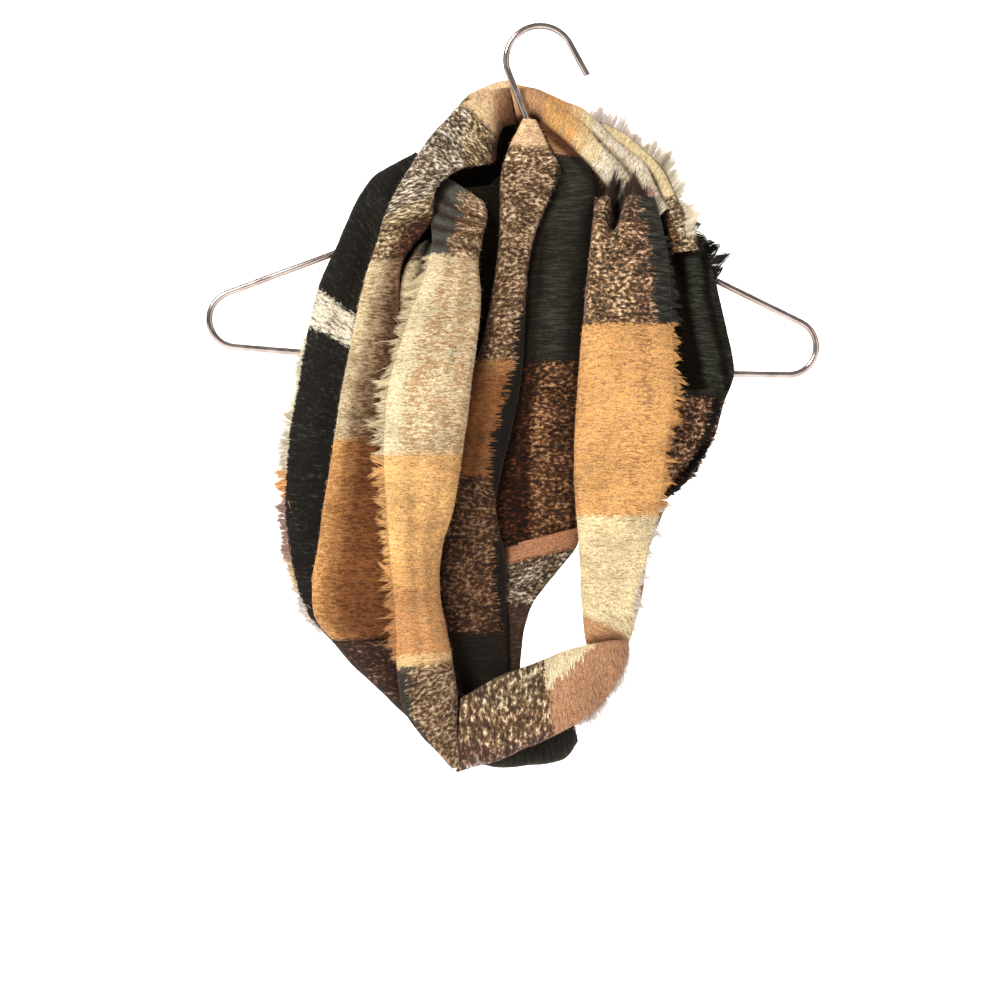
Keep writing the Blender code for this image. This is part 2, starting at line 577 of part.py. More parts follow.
CLOTH_COLOURS = {
    "camel": (0.62, 0.33, 0.14),
    "cream": (0.78, 0.66, 0.50),
    "speckle": (0.16, 0.12, 0.09),
    "dark": (0.025, 0.032, 0.028),
}


def main():
    clean_scene()
    collection = bpy.data.collections.new("infinity_scarf")
    bpy.context.scene.collection.children.link(collection)

    steel = (0.62, 0.58, 0.56)
    make_wire(
        "hanger_frame", frame_points(), True, make_material("frame steel", steel, 0.15, 1.0), collection
    )
    make_wire(
        "hanger_hook", hook_points(), False, make_material("hook steel", steel, 0.15, 1.0), collection
    )

    sections = {}
    for name, rows, count, colour in STRETCHES:
        material = make_material(name + " cloth", CLOTH_COLOURS[colour], 0.95)
        sections[name] = make_stretch(name, rows, count, material, collection)
    for name, stretch, edge, first, last, reach in FRINGES:
        material = make_material(name + " yarn", CLOTH_COLOURS["cream"], 0.95)
        make_fringe(name, sections[stretch], edge, first, last, reach, material, collection)


main()
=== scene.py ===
# %% [markdown]
# # An infinity scarf on a wire hanger
# The real thing is one wide ring of brushed acrylic cloth, woven in a large plaid and hung in two
# turns round the neck of a bent wire hanger. Each part of the ring that shows is called a stretch
# here, and each stretch is one sheet of cloth. The solids of the part say where each one lies.
# The scene opens them first, so that every sheet can be laid where its solid is.

# %% Open the frame
import math
import random
from types import SimpleNamespace

import bpy
import numpy as np
from mathutils import Matrix, Vector, noise
from mathutils.bvhtree import BVHTree


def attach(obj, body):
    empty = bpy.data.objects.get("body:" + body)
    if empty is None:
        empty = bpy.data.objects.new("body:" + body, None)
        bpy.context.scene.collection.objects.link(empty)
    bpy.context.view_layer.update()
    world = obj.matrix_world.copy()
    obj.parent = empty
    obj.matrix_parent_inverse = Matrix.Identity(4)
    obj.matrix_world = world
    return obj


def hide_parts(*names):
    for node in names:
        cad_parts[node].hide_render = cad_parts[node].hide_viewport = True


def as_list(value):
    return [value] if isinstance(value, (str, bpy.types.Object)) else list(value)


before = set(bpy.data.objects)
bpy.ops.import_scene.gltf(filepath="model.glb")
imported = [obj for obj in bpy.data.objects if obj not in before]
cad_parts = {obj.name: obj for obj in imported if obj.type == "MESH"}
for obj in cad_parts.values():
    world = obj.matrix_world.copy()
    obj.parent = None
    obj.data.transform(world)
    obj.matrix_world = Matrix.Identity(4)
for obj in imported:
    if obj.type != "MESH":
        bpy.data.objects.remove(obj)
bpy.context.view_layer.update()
MM = 0.001  # every size below is in millimetres
print("solids in the frame:", len(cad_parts))

# %% [markdown]
# ## The camera
# The scarf is seen straight from the front, level with its middle. A long lens from two metres
# keeps the perspective gentle. The camera comes first, because it says how large one thread is in
# the picture, and so how fine the weave has to be.

# %% Camera
CAMERA_PLACE = (-0.0274, -2.0, -0.3219)
CAMERA_LENS = 105.3

camera = bpy.data.objects.new("camera", bpy.data.cameras.new("camera"))
camera.data.sensor_width = 36.0
camera.data.lens = CAMERA_LENS
camera.location = CAMERA_PLACE
camera.rotation_euler = (math.radians(90), 0.0, 0.0)
bpy.context.scene.collection.objects.link(camera)
bpy.context.scene.camera = camera
print("camera", CAMERA_LENS, "mm from", -CAMERA_PLACE[1], "m")

# %% [markdown]
# ## The studio
# A pale sheet of paper runs along the floor and curves up behind. The light is soft: a large
# window to the upper left, a weaker warm one on the right, and a bright even sky that fills the
# rest. Deep places between the folds get little of any of them, and painted shade darkens the
# cloth's colour there as well.

# %% Backdrop and light
FLOOR_HEIGHT = -0.72
BACK_DISTANCE = 3.1  # far enough to look at the scarf from behind
CURVE = 0.5  # radius where the floor turns up
CURVE_STEPS = 12
PAPER_FRONT = -3.0
PAPER_TOP = 3.0
PAPER_SIDE = 6.0
SCARF_MIDDLE = (-0.02, 0.0, -0.26)


def paper():
    """Pale matt paper with a little light from behind it."""
    material = bpy.data.materials.new("pale paper")
    material.use_nodes = True
    shader = material.node_tree.nodes["Principled BSDF"].inputs
    shader["Base Color"].default_value = (0.9, 0.89, 0.87, 1.0)
    shader["Roughness"].default_value = 0.9
    shader["Emission Color"].default_value = (1.0, 1.0, 1.0, 1.0)
    shader["Emission Strength"].default_value = 0.55
    return material


def backdrop():
    profile = [(PAPER_FRONT, FLOOR_HEIGHT)]
    for k in range(CURVE_STEPS + 1):
        turn = math.pi / 2 * k / CURVE_STEPS
        y = BACK_DISTANCE - CURVE + CURVE * math.sin(turn)
        profile.append((y, FLOOR_HEIGHT + CURVE - CURVE * math.cos(turn)))
    profile.append((BACK_DISTANCE, PAPER_TOP))
    vertices = [(x, y, z) for y, z in profile for x in (-PAPER_SIDE, PAPER_SIDE)]
    faces = [(k, k + 1, k + 3, k + 2) for k in range(0, 2 * len(profile) - 2, 2)]
    mesh = bpy.data.meshes.new("paper_backdrop")
    mesh.from_pydata(vertices, [], faces)
    mesh.shade_smooth()
    mesh.materials.append(paper())
    roll = bpy.data.objects.new("paper_backdrop", mesh)
    bpy.context.scene.collection.objects.link(roll)


def window(name, place, aim, size, power, colour):
    light = bpy.data.lights.new(name, "AREA")
    light.shape = "RECTANGLE"
    light.size, light.size_y = size
    light.energy = power
    light.color = colour
    lamp = bpy.data.objects.new(name, light)
    lamp.location = place
    lamp.rotation_euler = (Vector(aim) - Vector(place)).to_track_quat("-Z", "Y").to_euler()
    bpy.context.scene.collection.objects.link(lamp)


backdrop()
window("left window", (-1.2, -1.55, 0.95), SCARF_MIDDLE, (0.6, 0.7), 45.0, (1.0, 0.95, 0.88))
window("right window", (1.5, -1.2, 0.1), SCARF_MIDDLE, (0.8, 1.2), 5.0, (1.0, 0.84, 0.72))
window("paper lamp", (0.0, 1.9, 1.7), (0.0, 3.1, -0.1), (3.4, 0.5), 80.0, (1.0, 1.0, 1.0))

sky = bpy.data.worlds.new("even sky")
bpy.context.scene.world = sky
sky.use_nodes = True
sky.node_tree.nodes["Background"].inputs["Color"].default_value = (1.0, 0.99, 0.97, 1.0)
sky.node_tree.nodes["Background"].inputs["Strength"].default_value = 0.27
bpy.context.scene.view_settings.view_transform = "Standard"
print("three lights and a sky")

# %% [markdown]
# ## Yarns
# Three yarns make the plaid: dark green that is nearly black, cream, and camel. The table has them
# with the shades between them. Some come from other fibres and the brush; two are camel with
# painted light and painted shade, a lightened camel for lit tops of folds and a darkened one for
# their shaded sides. Crossing threads of two colours give the speckle. A node tree can do this at
# any size, so the colours are worked out from where a point lies in the cloth: how far across the
# ring, in the warp, and how far along it, in the weft. Small helpers add the nodes.

# %% Yarns
YARNS = {  # colour, and how strongly a crossing thread shows over it
    "dark": (0.011, 0.0115, 0.0085, 0.95),
    "moss": (0.022, 0.025, 0.018, 0.02),
    "maroon": (0.040, 0.020, 0.014, 0.95),
    "cocoa": (0.050, 0.027, 0.017, 0.95),
    "slate": (0.060, 0.057, 0.048, 0.95),
    "brown": (0.26, 0.115, 0.050, 0.8),
    # camel darkened: painted shade on the shaded side of the outer turn and on its bottom roll
    "umber": (0.15, 0.065, 0.028, 0.8),
    "cream": (0.84, 0.72, 0.47, 0.9),
    "white": (0.87, 0.80, 0.64, 0.7),
    "pale": (0.80, 0.60, 0.38, 0.75),
    "camel": (0.78, 0.42, 0.155, 0.85),
    "tan": (0.56, 0.31, 0.16, 0.7),
    "honey": (0.82, 0.56, 0.28, 0.6),
    # camel lightened: painted light on the lit tops of rolls and folds, and the pale camel of some
    # speckle
    "sunlit": (0.93, 0.66, 0.40, 0.5),
    "butter": (0.88, 0.73, 0.44, 0.4),
    "amber": (0.90, 0.53, 0.21, 0.6),
    "russet": (0.64, 0.32, 0.13, 0.8),
    "bark": (0.060, 0.034, 0.022, 0.12),
    "rose": (0.50, 0.235, 0.155, 0.8),
    "mauve": (0.48, 0.31, 0.25, 0.8),
    "clay": (0.50, 0.27, 0.155, 0.7),
    "coral": (0.66, 0.32, 0.17, 0.0),
    "fawn": (0.64, 0.41, 0.27, 0.7),
    "ash": (0.105, 0.105, 0.088, 0.95),
    "blush": (0.84, 0.76, 0.71, 0.8),
    "grey": (0.115, 0.10, 0.085, 0.8),
}
EDGE_SOFT = 1.6  # how far two bands mix at their boundary
print("yarns:", ", ".join(YARNS))


# %% Node helpers
class Nodes:
    """A new material and short ways to add nodes to it. Most of them give an output socket."""

    def __init__(self, name):
        self.material = bpy.data.materials.new(name)
        self.material.use_nodes = True
        self.tree = self.material.node_tree
        self.shader = self.tree.nodes["Principled BSDF"].inputs

    def new(self, kind):
        return self.tree.nodes.new("ShaderNode" + kind)

    def put(self, value, socket):
        """Links a socket, or sets a plain value."""
        if isinstance(value, bpy.types.NodeSocket):
            self.tree.links.new(value, socket)
        else:
            socket.default_value = value

    def math(self, operation, first, second):
        node = self.new("Math")
        node.operation = operation
        self.put(first, node.inputs[0])
        self.put(second, node.inputs[1])
        return node.outputs[0]

    def times(self, first, *others):
        for other in others:
            first = self.math("MULTIPLY", first, other)
        return first

    def scaled(self, vector, factors, shift):
        node = self.new("VectorMath")
        node.operation = "MULTIPLY_ADD"
        for value, socket in zip((vector, factors, shift), node.inputs):
            self.put(value, socket)
        return node.outputs[0]

    def noise(self, vector, scale, detail, roughness=0.5):
        node = self.new("TexNoise")
        for key, value in zip(
            ("Vector", "Scale", "Detail", "Roughness"), (vector, scale, detail, roughness)
        ):
            self.put(value, node.inputs[key])
        return node.outputs["Fac"]

    def step(self, value, low, high, bottom=0.0, top=1.0):
        node = self.new("MapRange")
        node.interpolation_type = "SMOOTHSTEP"
        for number, socket in zip((value, low, high, bottom, top), node.inputs):
            self.put(number, socket)
        return node.outputs["Result"]

    def vary(self, noise, low, high):
        """A noise, which seldom leaves 0.3 to 0.7, stretched to run from low to high."""
        return self.step(noise, 0.3, 0.7, low, high)

    def blend(self, share, first, second, kind="MIX"):
        node = self.new("Mix")
        node.data_type = "RGBA"
        node.blend_type = kind
        for value, number in ((share, 0), (first, 6), (second, 7)):
            self.put(value, node.inputs[number])
        return node.outputs[2]

    def tinted(self, colour, tint):
        return self.blend(1.0, colour, tint, "MULTIPLY")

    def ramp(self, place, full, stops, curve):
        """Colours along full millimetres, from (mm, colour) pairs."""
        node = self.new("ValToRGB")
        ramp = node.color_ramp
        ramp.interpolation = curve
        while len(ramp.elements) < len(stops):
            ramp.elements.new(1.0)
        for element, (at, colour) in zip(ramp.elements, stops):
            element.position = min(max(at / full, 0.0), 1.0)
            element.color = colour
        self.put(self.math("DIVIDE", place, full), node.inputs["Fac"])
        return node.outputs

    def bands(self, place, full, bands, crossed=False):
        """Bands of yarn, from (start in mm, yarn) pairs: their colour, and how the other set shows.

        A yarn that ends in * hides behind the other set, and one that ends in + hides it.
        """
        stops = []
        for k, (start, yarn) in enumerate(bands):
            *colour, shows = YARNS[yarn.strip("*+")]
            colour = (*colour, shows if crossed else {"*": 0.0, "+": 1.0}.get(yarn[-1], 0.5))
            end = bands[k + 1][0] if k + 1 < len(bands) else full
            stops.append((start + (EDGE_SOFT / 2 if k else 0), colour))
            stops.append((end - EDGE_SOFT / 2, colour))
        return self.ramp(place, full, sorted(stops, key=lambda stop: stop[0]), "LINEAR")


print("node helpers ready")

# %% [markdown]
# ## The brushed plaid
# Up close the cloth is a loose plain weave, brushed until its surface is a felt of short hairs.
# Where two colours cross, lumps of each show through, wider across the ring than along it. Where
# one colour crosses itself, small darker ticks remain: partly darker fibres, partly painted shade
# in the gaps between the threads. At a raw edge the warp stops short, and the weft shows alone in
# streaks. The material mixes the two sets of bands with stretched noise, and the same noise lifts
# the nap. Where a place is little open, it also paints shade into the colour.

# %% Sizes and tints of the plaid
LUMP = (3.3, 2.2)  # every size is across and along the cloth: speckle on the dark bands
DASH = (5.0, 1.45)  # the same on the pale bands
TICK = (3.2, 1.05)
HAIR = (1.2, 0.5)
SLUB = (14.0, 9.0)
STREAK = (11.0, 1.1)
PATCH = (42.0, 34.0)  # where the whole cloth is a little darker or paler
FRAY = (2.6, 1.6)  # how a band's edge wavers along the ring
TOOTH = (9.0, 1.3)  # and across it
FRAY_REACH = 1.6
TOOTH_REACH = 3.6
DASH_THIN = 0.03  # dashes show a little less than lumps
RIM = 0.17  # from a speckle's outline to where its rim fades out
HEATHER = (0.50, 0.42, 0.36, 1.0)  # the darker fibres of a speckle's rim
WARM_HEATHER = (0.50, 0.37, 0.23, 1.0)  # the same on the pale bands
BETWEEN = (0.20, 0.15, 0.12, 1.0)  # crossing yarn that only just shows between the speckles
# The ticks' tint: partly darker fibres, partly painted shade between the threads.
IN_TICK = (0.40, 0.22, 0.12, 1.0)
FUZZ = (0.095, 0.092, 0.080, 1.0)  # pale hairs on the dark yarn
SHADE_TINT = (0.22, 0.13, 0.09, 1.0)  # what is left of the colour in painted shade, in deep folds and along the ramps
SHEEN_ROUGHNESS = 0.55
SHEEN_TINT = (1.0, 0.86, 0.78, 1.0)
NAP_BUMP = 1.5
print("speckle", LUMP, "mm, ticks", TICK, "mm")


# %% Plaid material
def plaid(
    name, weft, warp, full, seed=0.0, share=0.5, ticks=0.5, tone=1.0, shade=(), fade=(),
    lump=LUMP, sheen=0.12,
):
    """weft and warp are bands, full is the size across and along, share is how much warp shows.

    tone, shade (across) and fade (along) scale the painted shade that darkens little-open places.
    """
    n = Nodes(name)
    place = n.new("UVMap")
    place.uv_map = "cloth"
    yarn = n.scaled(place.outputs[0], (1 / MM, 1 / MM, 0.0), (0.0, 0.0, seed))
    split = n.new("SeparateXYZ")
    n.put(yarn, split.inputs[0])
    across, along = split.outputs[:2]

    def cloud(size, shift, detail=2.0, roughness=0.5):
        stretched = n.scaled(yarn, (1 / size[0], 1 / size[1], 0.0), (0.0, 0.0, shift))
        return n.noise(stretched, 1.0, detail, roughness)

    weft_place = n.math("ADD", along, n.vary(cloud(FRAY, 3.1), -FRAY_REACH, FRAY_REACH))
    warp_place = n.math("ADD", across, n.vary(cloud(TOOTH, 7.7), -TOOTH_REACH, TOOTH_REACH))
    weft_colour, crossing = n.bands(weft_place, full[1], weft, crossed=True)
    warp_colour, cover = n.bands(warp_place, full[0], warp)

    # Which of the two sets shows: lumps on the dark bands, flat dashes on the pale ones.
    on_dark = n.step(crossing, 0.91, 0.94)
    on_pale = n.math("SUBTRACT", 1.0, on_dark)
    lumps = n.times(cloud(lump, 0.0, 3.0, 0.62), on_dark)
    dashes = n.times(n.math("SUBTRACT", cloud(DASH, 4.2, 2.0, 0.6), DASH_THIN), on_pale)
    marks = n.math("ADD", lumps, dashes)
    uneven = n.math("ADD", marks, n.vary(cloud(SLUB, 1.9), -0.05, 0.05))
    middle = 0.5 + (0.5 - share) * 0.28
    warp_there = n.step(cover, 0.0, 0.5)
    over = n.times(warp_there, crossing)
    covers = n.math("SUBTRACT", n.step(cover, 0.5, 1.0), on_dark)
    warp_shows = n.times(n.step(uneven, middle - 0.05, middle + 0.06), over)
    warp_shows = n.math("MAXIMUM", warp_shows, covers)

    # The weft's own yarn, with fuzz on it and the warp's fibres at the rim of a speckle.
    streak = cloud(STREAK, 6.6, 1.0)
    deep_yarn = n.math("MAXIMUM", on_dark, n.step(crossing, 0.03, 0.10, 1.0, 0.0))
    bare = n.step(warp_there, 0.0, 1.0, 0.6, 0.4)
    fuzz = n.times(n.step(streak, 0.40, 0.72), deep_yarn, bare)
    rim = n.times(n.step(uneven, middle - RIM, middle - 0.03), over, n.times(on_dark, 0.8))
    weft_yarn = n.blend(fuzz, weft_colour, FUZZ)
    weft_yarn = n.blend(rim, weft_yarn, n.tinted(warp_colour, BETWEEN))

    # The warp's own yarn, darker at a speckle's rim and bright in its core.
    full_colour = n.times(n.step(uneven, middle, middle + RIM), n.step(on_dark, 0.0, 1.0, 0.4))
    full_colour = n.math("MAXIMUM", full_colour, covers)
    fibres = n.tinted(warp_colour, n.blend(on_dark, WARM_HEATHER, HEATHER))
    core = n.times(n.step(uneven, middle + 0.05, middle + RIM), on_dark)
    warp_yarn = n.blend(full_colour, fibres, warp_colour)
    warp_yarn = n.blend(core, warp_yarn, warp_colour, "SCREEN")
    weave = n.blend(warp_shows, weft_yarn, warp_yarn)

    # Ticks between the threads (partly painted shade), uneven brushing, and painted shade in deep
    # folds and along the shade and fade ramps.
    tick = cloud(TICK, 5.3, 2.0, 0.6)
    weave = n.blend(n.times(n.step(tick, 0.53, 0.62), ticks), weave, IN_TICK, "MULTIPLY")
    fine = cloud(HAIR, 8.8, 1.0)
    level = n.times(
        n.vary(cloud(PATCH, 2.2), 0.86, 1.1),
        n.step(fine, 0.28, 0.72, 0.62, 1.30),
        n.vary(streak, 0.86, 1.08),
    )
    weave = n.tinted(weave, level)
    # Painted shade: the colour turns darker and redder where a place is little open, and along the
    # shade and fade ramps.
    deep = n.new("Attribute")
    deep.attribute_name = "open"
    light = n.times(n.step(deep.outputs["Fac"], 0.22, 0.82), tone)
    for line, size, levels in ((across, full[0], shade), (along, full[1], fade)):
        if levels:
            stops = [(at, (level, level, level, 1.0)) for at, level in levels]
            light = n.times(light, n.ramp(line, size, stops, "EASE")["Color"])
    n.put(n.blend(light, n.tinted(weave, SHADE_TINT), weave), n.shader["Base Color"])

    height = n.math("ADD", n.times(marks, 0.6), n.times(fine, 0.25))
    height = n.math("ADD", height, n.times(tick, -0.35))
    height = n.math("ADD", height, n.times(streak, 0.4))
    bump = n.new("Bump")
    bump.inputs["Strength"].default_value = 0.75
    bump.inputs["Distance"].default_value = NAP_BUMP * MM
    n.put(height, bump.inputs["Height"])
    n.put(bump.outputs[0], n.shader["Normal"])
    n.put(n.step(fine, 0.2, 0.8, 0.86, 1.0), n.shader["Roughness"])
    n.put(sheen * 1.5, n.shader["Specular IOR Level"])
    n.put(sheen, n.shader["Sheen Weight"])
    n.put(SHEEN_ROUGHNESS, n.shader["Sheen Roughness"])
    n.put(SHEEN_TINT, n.shader["Sheen Tint"])
    return n.material


print("one plaid material for every stretch")

# %% [markdown]
# ## A sheet through its sections
# Each stretch has a short table of sections. A row gives the left and right edge of the sheet at
# that place, how far it swells toward the front, and how far each edge turns on behind. Curves
# through the table's columns make a fine grid, so that the sheet runs smoothly from row to row.
# Creases are pressed in one by one: a cloth simulation would drape the ring in some way of its own,
# and this one has to lie as it hangs.

# %% Rows
# Columns of every table: left x, y, z, right x, y, z, swell, left wrap, right wrap.
COLUMNS = 9
LEFT, RIGHT, SWELL, LEFT_WRAP, RIGHT_WRAP = slice(0, 3), slice(3, 6), [6], [7], [8]
ROW_STEP = 2.0


def distances(line):
    """How far each point of a line is from its start, along it."""
    return np.concatenate([[0.0], np.cumsum(np.linalg.norm(np.diff(line, axis=0), axis=1))])


def spread_rows(table):
    """Rows of the table, spaced evenly along the sheet. Gives distance, share and the columns."""
    rows = np.array(table.split(), float).reshape(-1, COLUMNS)
    middles = (rows[:, LEFT] + rows[:, RIGHT]) / 2
    at = distances(middles)
    slopes = np.gradient(rows, at, axis=0)
    places = np.linspace(0.0, at[-1], int(at[-1] / ROW_STEP) + 2)
    k = np.clip(np.searchsorted(at, places, side="right") - 1, 0, len(at) - 2)
    gap = (at[k + 1] - at[k])[:, None]
    t = (places - at[k])[:, None] / gap
    smooth = (
        (2 * t**3 - 3 * t**2 + 1) * rows[k]
        + (t**3 - 2 * t**2 + t) * gap * slopes[k]
        + (3 * t**2 - 2 * t**3) * rows[k + 1]
        + (t**3 - t**2) * gap * slopes[k + 1]
    )
    return places, (k + t[:, 0]) / (len(at) - 1), smooth


print("a table becomes rows", ROW_STEP, "mm apart")

# %% [markdown]
# Each row is part of a flattened ellipse. Negative wraps stop short of the edge, and positive ones
# go round it to the back, where the fold is shallower.

# %% Folds
SECTION_POWER = 2.3  # 2 is an ellipse, more is a flatter fold
BACK_DEPTH = 0.7  # a fold's hidden half is this much shallower than its front


def signed_power(value):
    return np.sign(value) * np.abs(value) ** (2 / SECTION_POWER)


def fold_points(rows, count):
    """Grid of points, a row for each section, from its left edge to its right edge."""
    left, right, swell = rows[:, None, LEFT], rows[:, None, RIGHT], rows[:, SWELL]
    left_wrap, right_wrap = rows[:, LEFT_WRAP], rows[:, RIGHT_WRAP]
    first, last = np.radians(180 + left_wrap), np.radians(-right_wrap)
    angle = first + (last - first) * np.linspace(0, 1, count)
    low = np.where(left_wrap < 0, signed_power(np.cos(first)), -1.0)
    high = np.where(right_wrap < 0, signed_power(np.cos(last)), 1.0)
    share = (signed_power(np.cos(angle)) - low) / (high - low)
    rise = signed_power(np.sin(angle)) * swell
    rise = np.where(np.sin(angle) < 0, rise * BACK_DEPTH, rise)
    points = left + (right - left) * share[..., None]
    points[..., 1] -= rise
    return points


def evened(points):
    """The same sections with their points evenly spaced across."""
    out = np.empty_like(points)
    goal = np.linspace(0, 1, points.shape[1])
    for r, row in enumerate(points):
        run = distances(row)
        for axis in range(3):
            out[r, :, axis] = np.interp(goal, run / run[-1], row[:, axis])
    return out


def facing(points):
    """The grid's normals, out of the sheet's face, as long as a cell is large."""
    return np.cross(np.gradient(points, axis=0), np.gradient(points, axis=1))


def outward(points):
    normal = facing(points)
    return normal / np.maximum(np.linalg.norm(normal, axis=2, keepdims=True), 1e-9)


print("a row becomes a fold")

# %% [markdown]
# Real cloth is never smooth between its folds. Creases are soft troughs, dents are short local
# pulls, and a slow noise makes the rest uneven. The noise moves each point along its normal, by
# 2 mm at most.

# %% Creases and dents
LONG_WAVE = (21.0, 68.0)  # how long the noise's waves are, across and down
SHORT_WAVE = (9.0, 15.0)
LONG_DEPTH = 1.5
SHORT_DEPTH = 0.5


def crease_depths(creases, along, count):
    """How far creases press the sheet in. A crease that starts before 0 is deepest at the start.

    Columns: start and end as shares along, share across at both, width across, depth.
    """
    depth = np.zeros((len(along), count))
    across = np.linspace(0, 1, count)[None, :]
    for start, end, across_start, across_end, width, most in creases:
        share = np.clip((along - start) / (end - start), 0, 1)[:, None]
        place = across_start + (across_end - across_start) * share
        fade = np.cos(np.pi / 2 * share) if start < 0 else np.sin(np.pi * share)
        depth += most * fade**0.5 * np.exp(-(((across - place) / width) ** 2))
    return depth


def dent_shifts(dents, run, count):
    """Local pulls. Columns: mm along, share across, reach along and across, shift back and up."""
    shift = np.zeros((len(run), count, 3))
    across = np.linspace(0, 1, count)[None, :]
    for along, share, reach_along, reach_across, back, up in dents:
        near = np.exp(
            -(((run[:, None] - along) / reach_along) ** 2) - ((across - share) / reach_across) ** 2
        )
        shift[..., 1] += near * back
        shift[..., 2] += near * up
    return shift


def rumple(points, seed):
    """Soft unevenness of hung cloth: long low waves down it and small lumps all over."""
    out = np.zeros(points.shape[:2])
    for place in np.ndindex(out.shape):
        x, y, z = points[place]
        wide, tall = LONG_WAVE
        long_wave = noise.noise(Vector((x / wide, y / wide + seed, z / tall)))
        wide, tall = SHORT_WAVE
        lump = noise.noise(Vector((x / wide + seed, y / wide, z / tall)))
        out[place] = LONG_DEPTH * long_wave + SHORT_DEPTH * lump
    return out


print("a fold can be creased, dented and rumpled")

# %% [markdown]
# ## From grid to sheet
# The grid becomes a mesh with one extra layer that says where each point lies in the cloth, in
# metres across the ring and along it. The plaid reads that layer. A Solidify modifier gives the
# sheet its thickness on the inside, so that its face stays where the solid's face is. The sheet is
# then laid in its solid's place.

# %% Pieces
def quads(rows, count, first=0):
    """Faces of a grid of points, which are numbered from first."""
    corners = np.arange(rows * count).reshape(rows, count) + first
    sides = [corners[:-1, :-1], corners[1:, :-1], corners[1:, 1:], corners[:-1, 1:]]
    return np.stack(sides, axis=-1).reshape(-1, 4)


def new_piece(name, points, faces, places, material):
    """A piece of cloth or thread, with the place in the cloth of each corner of its faces."""
    mesh = bpy.data.meshes.new(name)
    mesh.from_pydata((points * MM).tolist(), [], faces)
    layer = mesh.uv_layers.new(name="cloth")
    layer.data.foreach_set("uv", places.astype(np.float32).reshape(-1))
    mesh.materials.append(material)
    piece = bpy.data.objects.new(name, mesh)
    bpy.context.scene.collection.objects.link(piece)
    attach(piece, "root")
    return piece


print("grids can become pieces")

# %% [markdown]
# One function lays every sheet. Its tables say what differs: bands, creases, and how the bands run
# askew where the cloth was pulled. Where the warp's colours change down a stretch, it leaps to
# another set of bands between two rows.

# %% Sheets
SHEET_WALL = 2.0
ACROSS_STEP = 1.9
ROUGH_COUNT = 90  # points across before they are evened
LEAP = 40.0  # a change across between two rows that is a leap to another set of bands
SEED_STEP = 3.7  # from one sheet's rumples to the next one's
sheets = {}


def along_table(share, table):
    """A value for every row of the grid, from (share along, value) pairs."""
    return np.interp(share, [row[0] for row in table], [row[1] for row in table])[:, None]


def lay_sheet(
    name, table, weft, warp, flat, rests_on, creases=(), dents=(), raw="", slot="camel_cloth",
    skew=(), slant=(), fringes=(), **weave_and_shade,
):
    """Lays the sheet of one stretch in place of its solid."""
    number = len(sheets) + 1
    run, share, rows = spread_rows(table)
    rough = fold_points(rows, ROUGH_COUNT)
    widest = np.linalg.norm(np.diff(rough, axis=1), axis=2).sum(axis=1).max()
    count = max(int(widest / ACROSS_STEP), 8)
    points = evened(rough)[:, np.linspace(0, ROUGH_COUNT - 1, count).astype(int)]
    points = evened(points)
    normals = outward(points)
    points = points + normals * rumple(points, number * SEED_STEP)[..., None]
    points[..., 1] += crease_depths(creases, share, count) * np.clip(-normals[..., 1], 0, 1)
    points += dent_shifts(dents, run, count)

    widths = np.linalg.norm(np.diff(points, axis=1), axis=2)
    across = np.pad(np.cumsum(widths, axis=1), ((0, 0), (1, 0)))
    if raw == "right":
        across = across[:, -1:] - across
    if skew:
        across = across - along_table(share, skew)
    along = np.repeat(run[:, None], count, axis=1)
    if slant:
        at_left = along_table(share, [row[:2] for row in slant])
        at_right = along_table(share, [row[::2] for row in slant])
        along = along + at_left + (at_right - at_left) * np.linspace(0, 1, count)
    leap = np.median(np.diff(across, axis=0), axis=1) * MM
    leap[abs(leap) < LEAP * MM] = 0.0
    faces = quads(len(run), count)
    places = np.stack([across, along], axis=-1).reshape(-1, 2)[faces] * MM
    places[:, 1:3, 0] -= np.repeat(leap, count - 1)[:, None]  # it falls between two rows of faces

    full = (across.max(), run[-1])
    # The other settings are for the weave and for its painted shade: tone, shade and fade.
    material = plaid(name.replace("_", " "), weft, warp, full, seed=float(number), **weave_and_shade)
    cloth = new_piece(name + "_cloth", points.reshape(-1, 3), faces.tolist(), places, material)
    cloth.data.shade_smooth()
    wall = cloth.modifiers.new("cloth wall", "SOLIDIFY")
    wall.thickness = SHEET_WALL * MM
    wall.offset = -1.0
    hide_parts(name)
    sheets[name] = SimpleNamespace(
        cloth=cloth, points=points, normals=outward(points), across=across, along=along,
        material=material, fringes=fringes, flat=flat, rests_on=rests_on,
    )
    print(f"{name}: {widths.sum(axis=1).mean():.0f} x {run[-1]:.0f} mm, {len(faces)} faces")


print("sheets can be laid")

# %% [markdown]
# ## Threads
# Two kinds of loose thread stand on the sheets. A fringe is what is left of the weft past a raw
# edge: soft ends about 8 mm long that lean on each other in small tufts. The nap is what the brush
# pulled up: hairs of 2 or 3 mm that blur every outline. Both are single meshes of many thin
# threads. They take the plaid of the sheet below at the place where they grow, and some fringes
# have weft bands of their own.

# %% Thread meshes
TURN_TO_FRONT = (0.0, 1.0, 0.12)  # threads are flat, and they turn their flat side about forward


def write_open(mesh, values):
    layer = mesh.attributes.new("open", "FLOAT", "POINT")
    layer.data.foreach_set("value", np.array(values, np.float32))


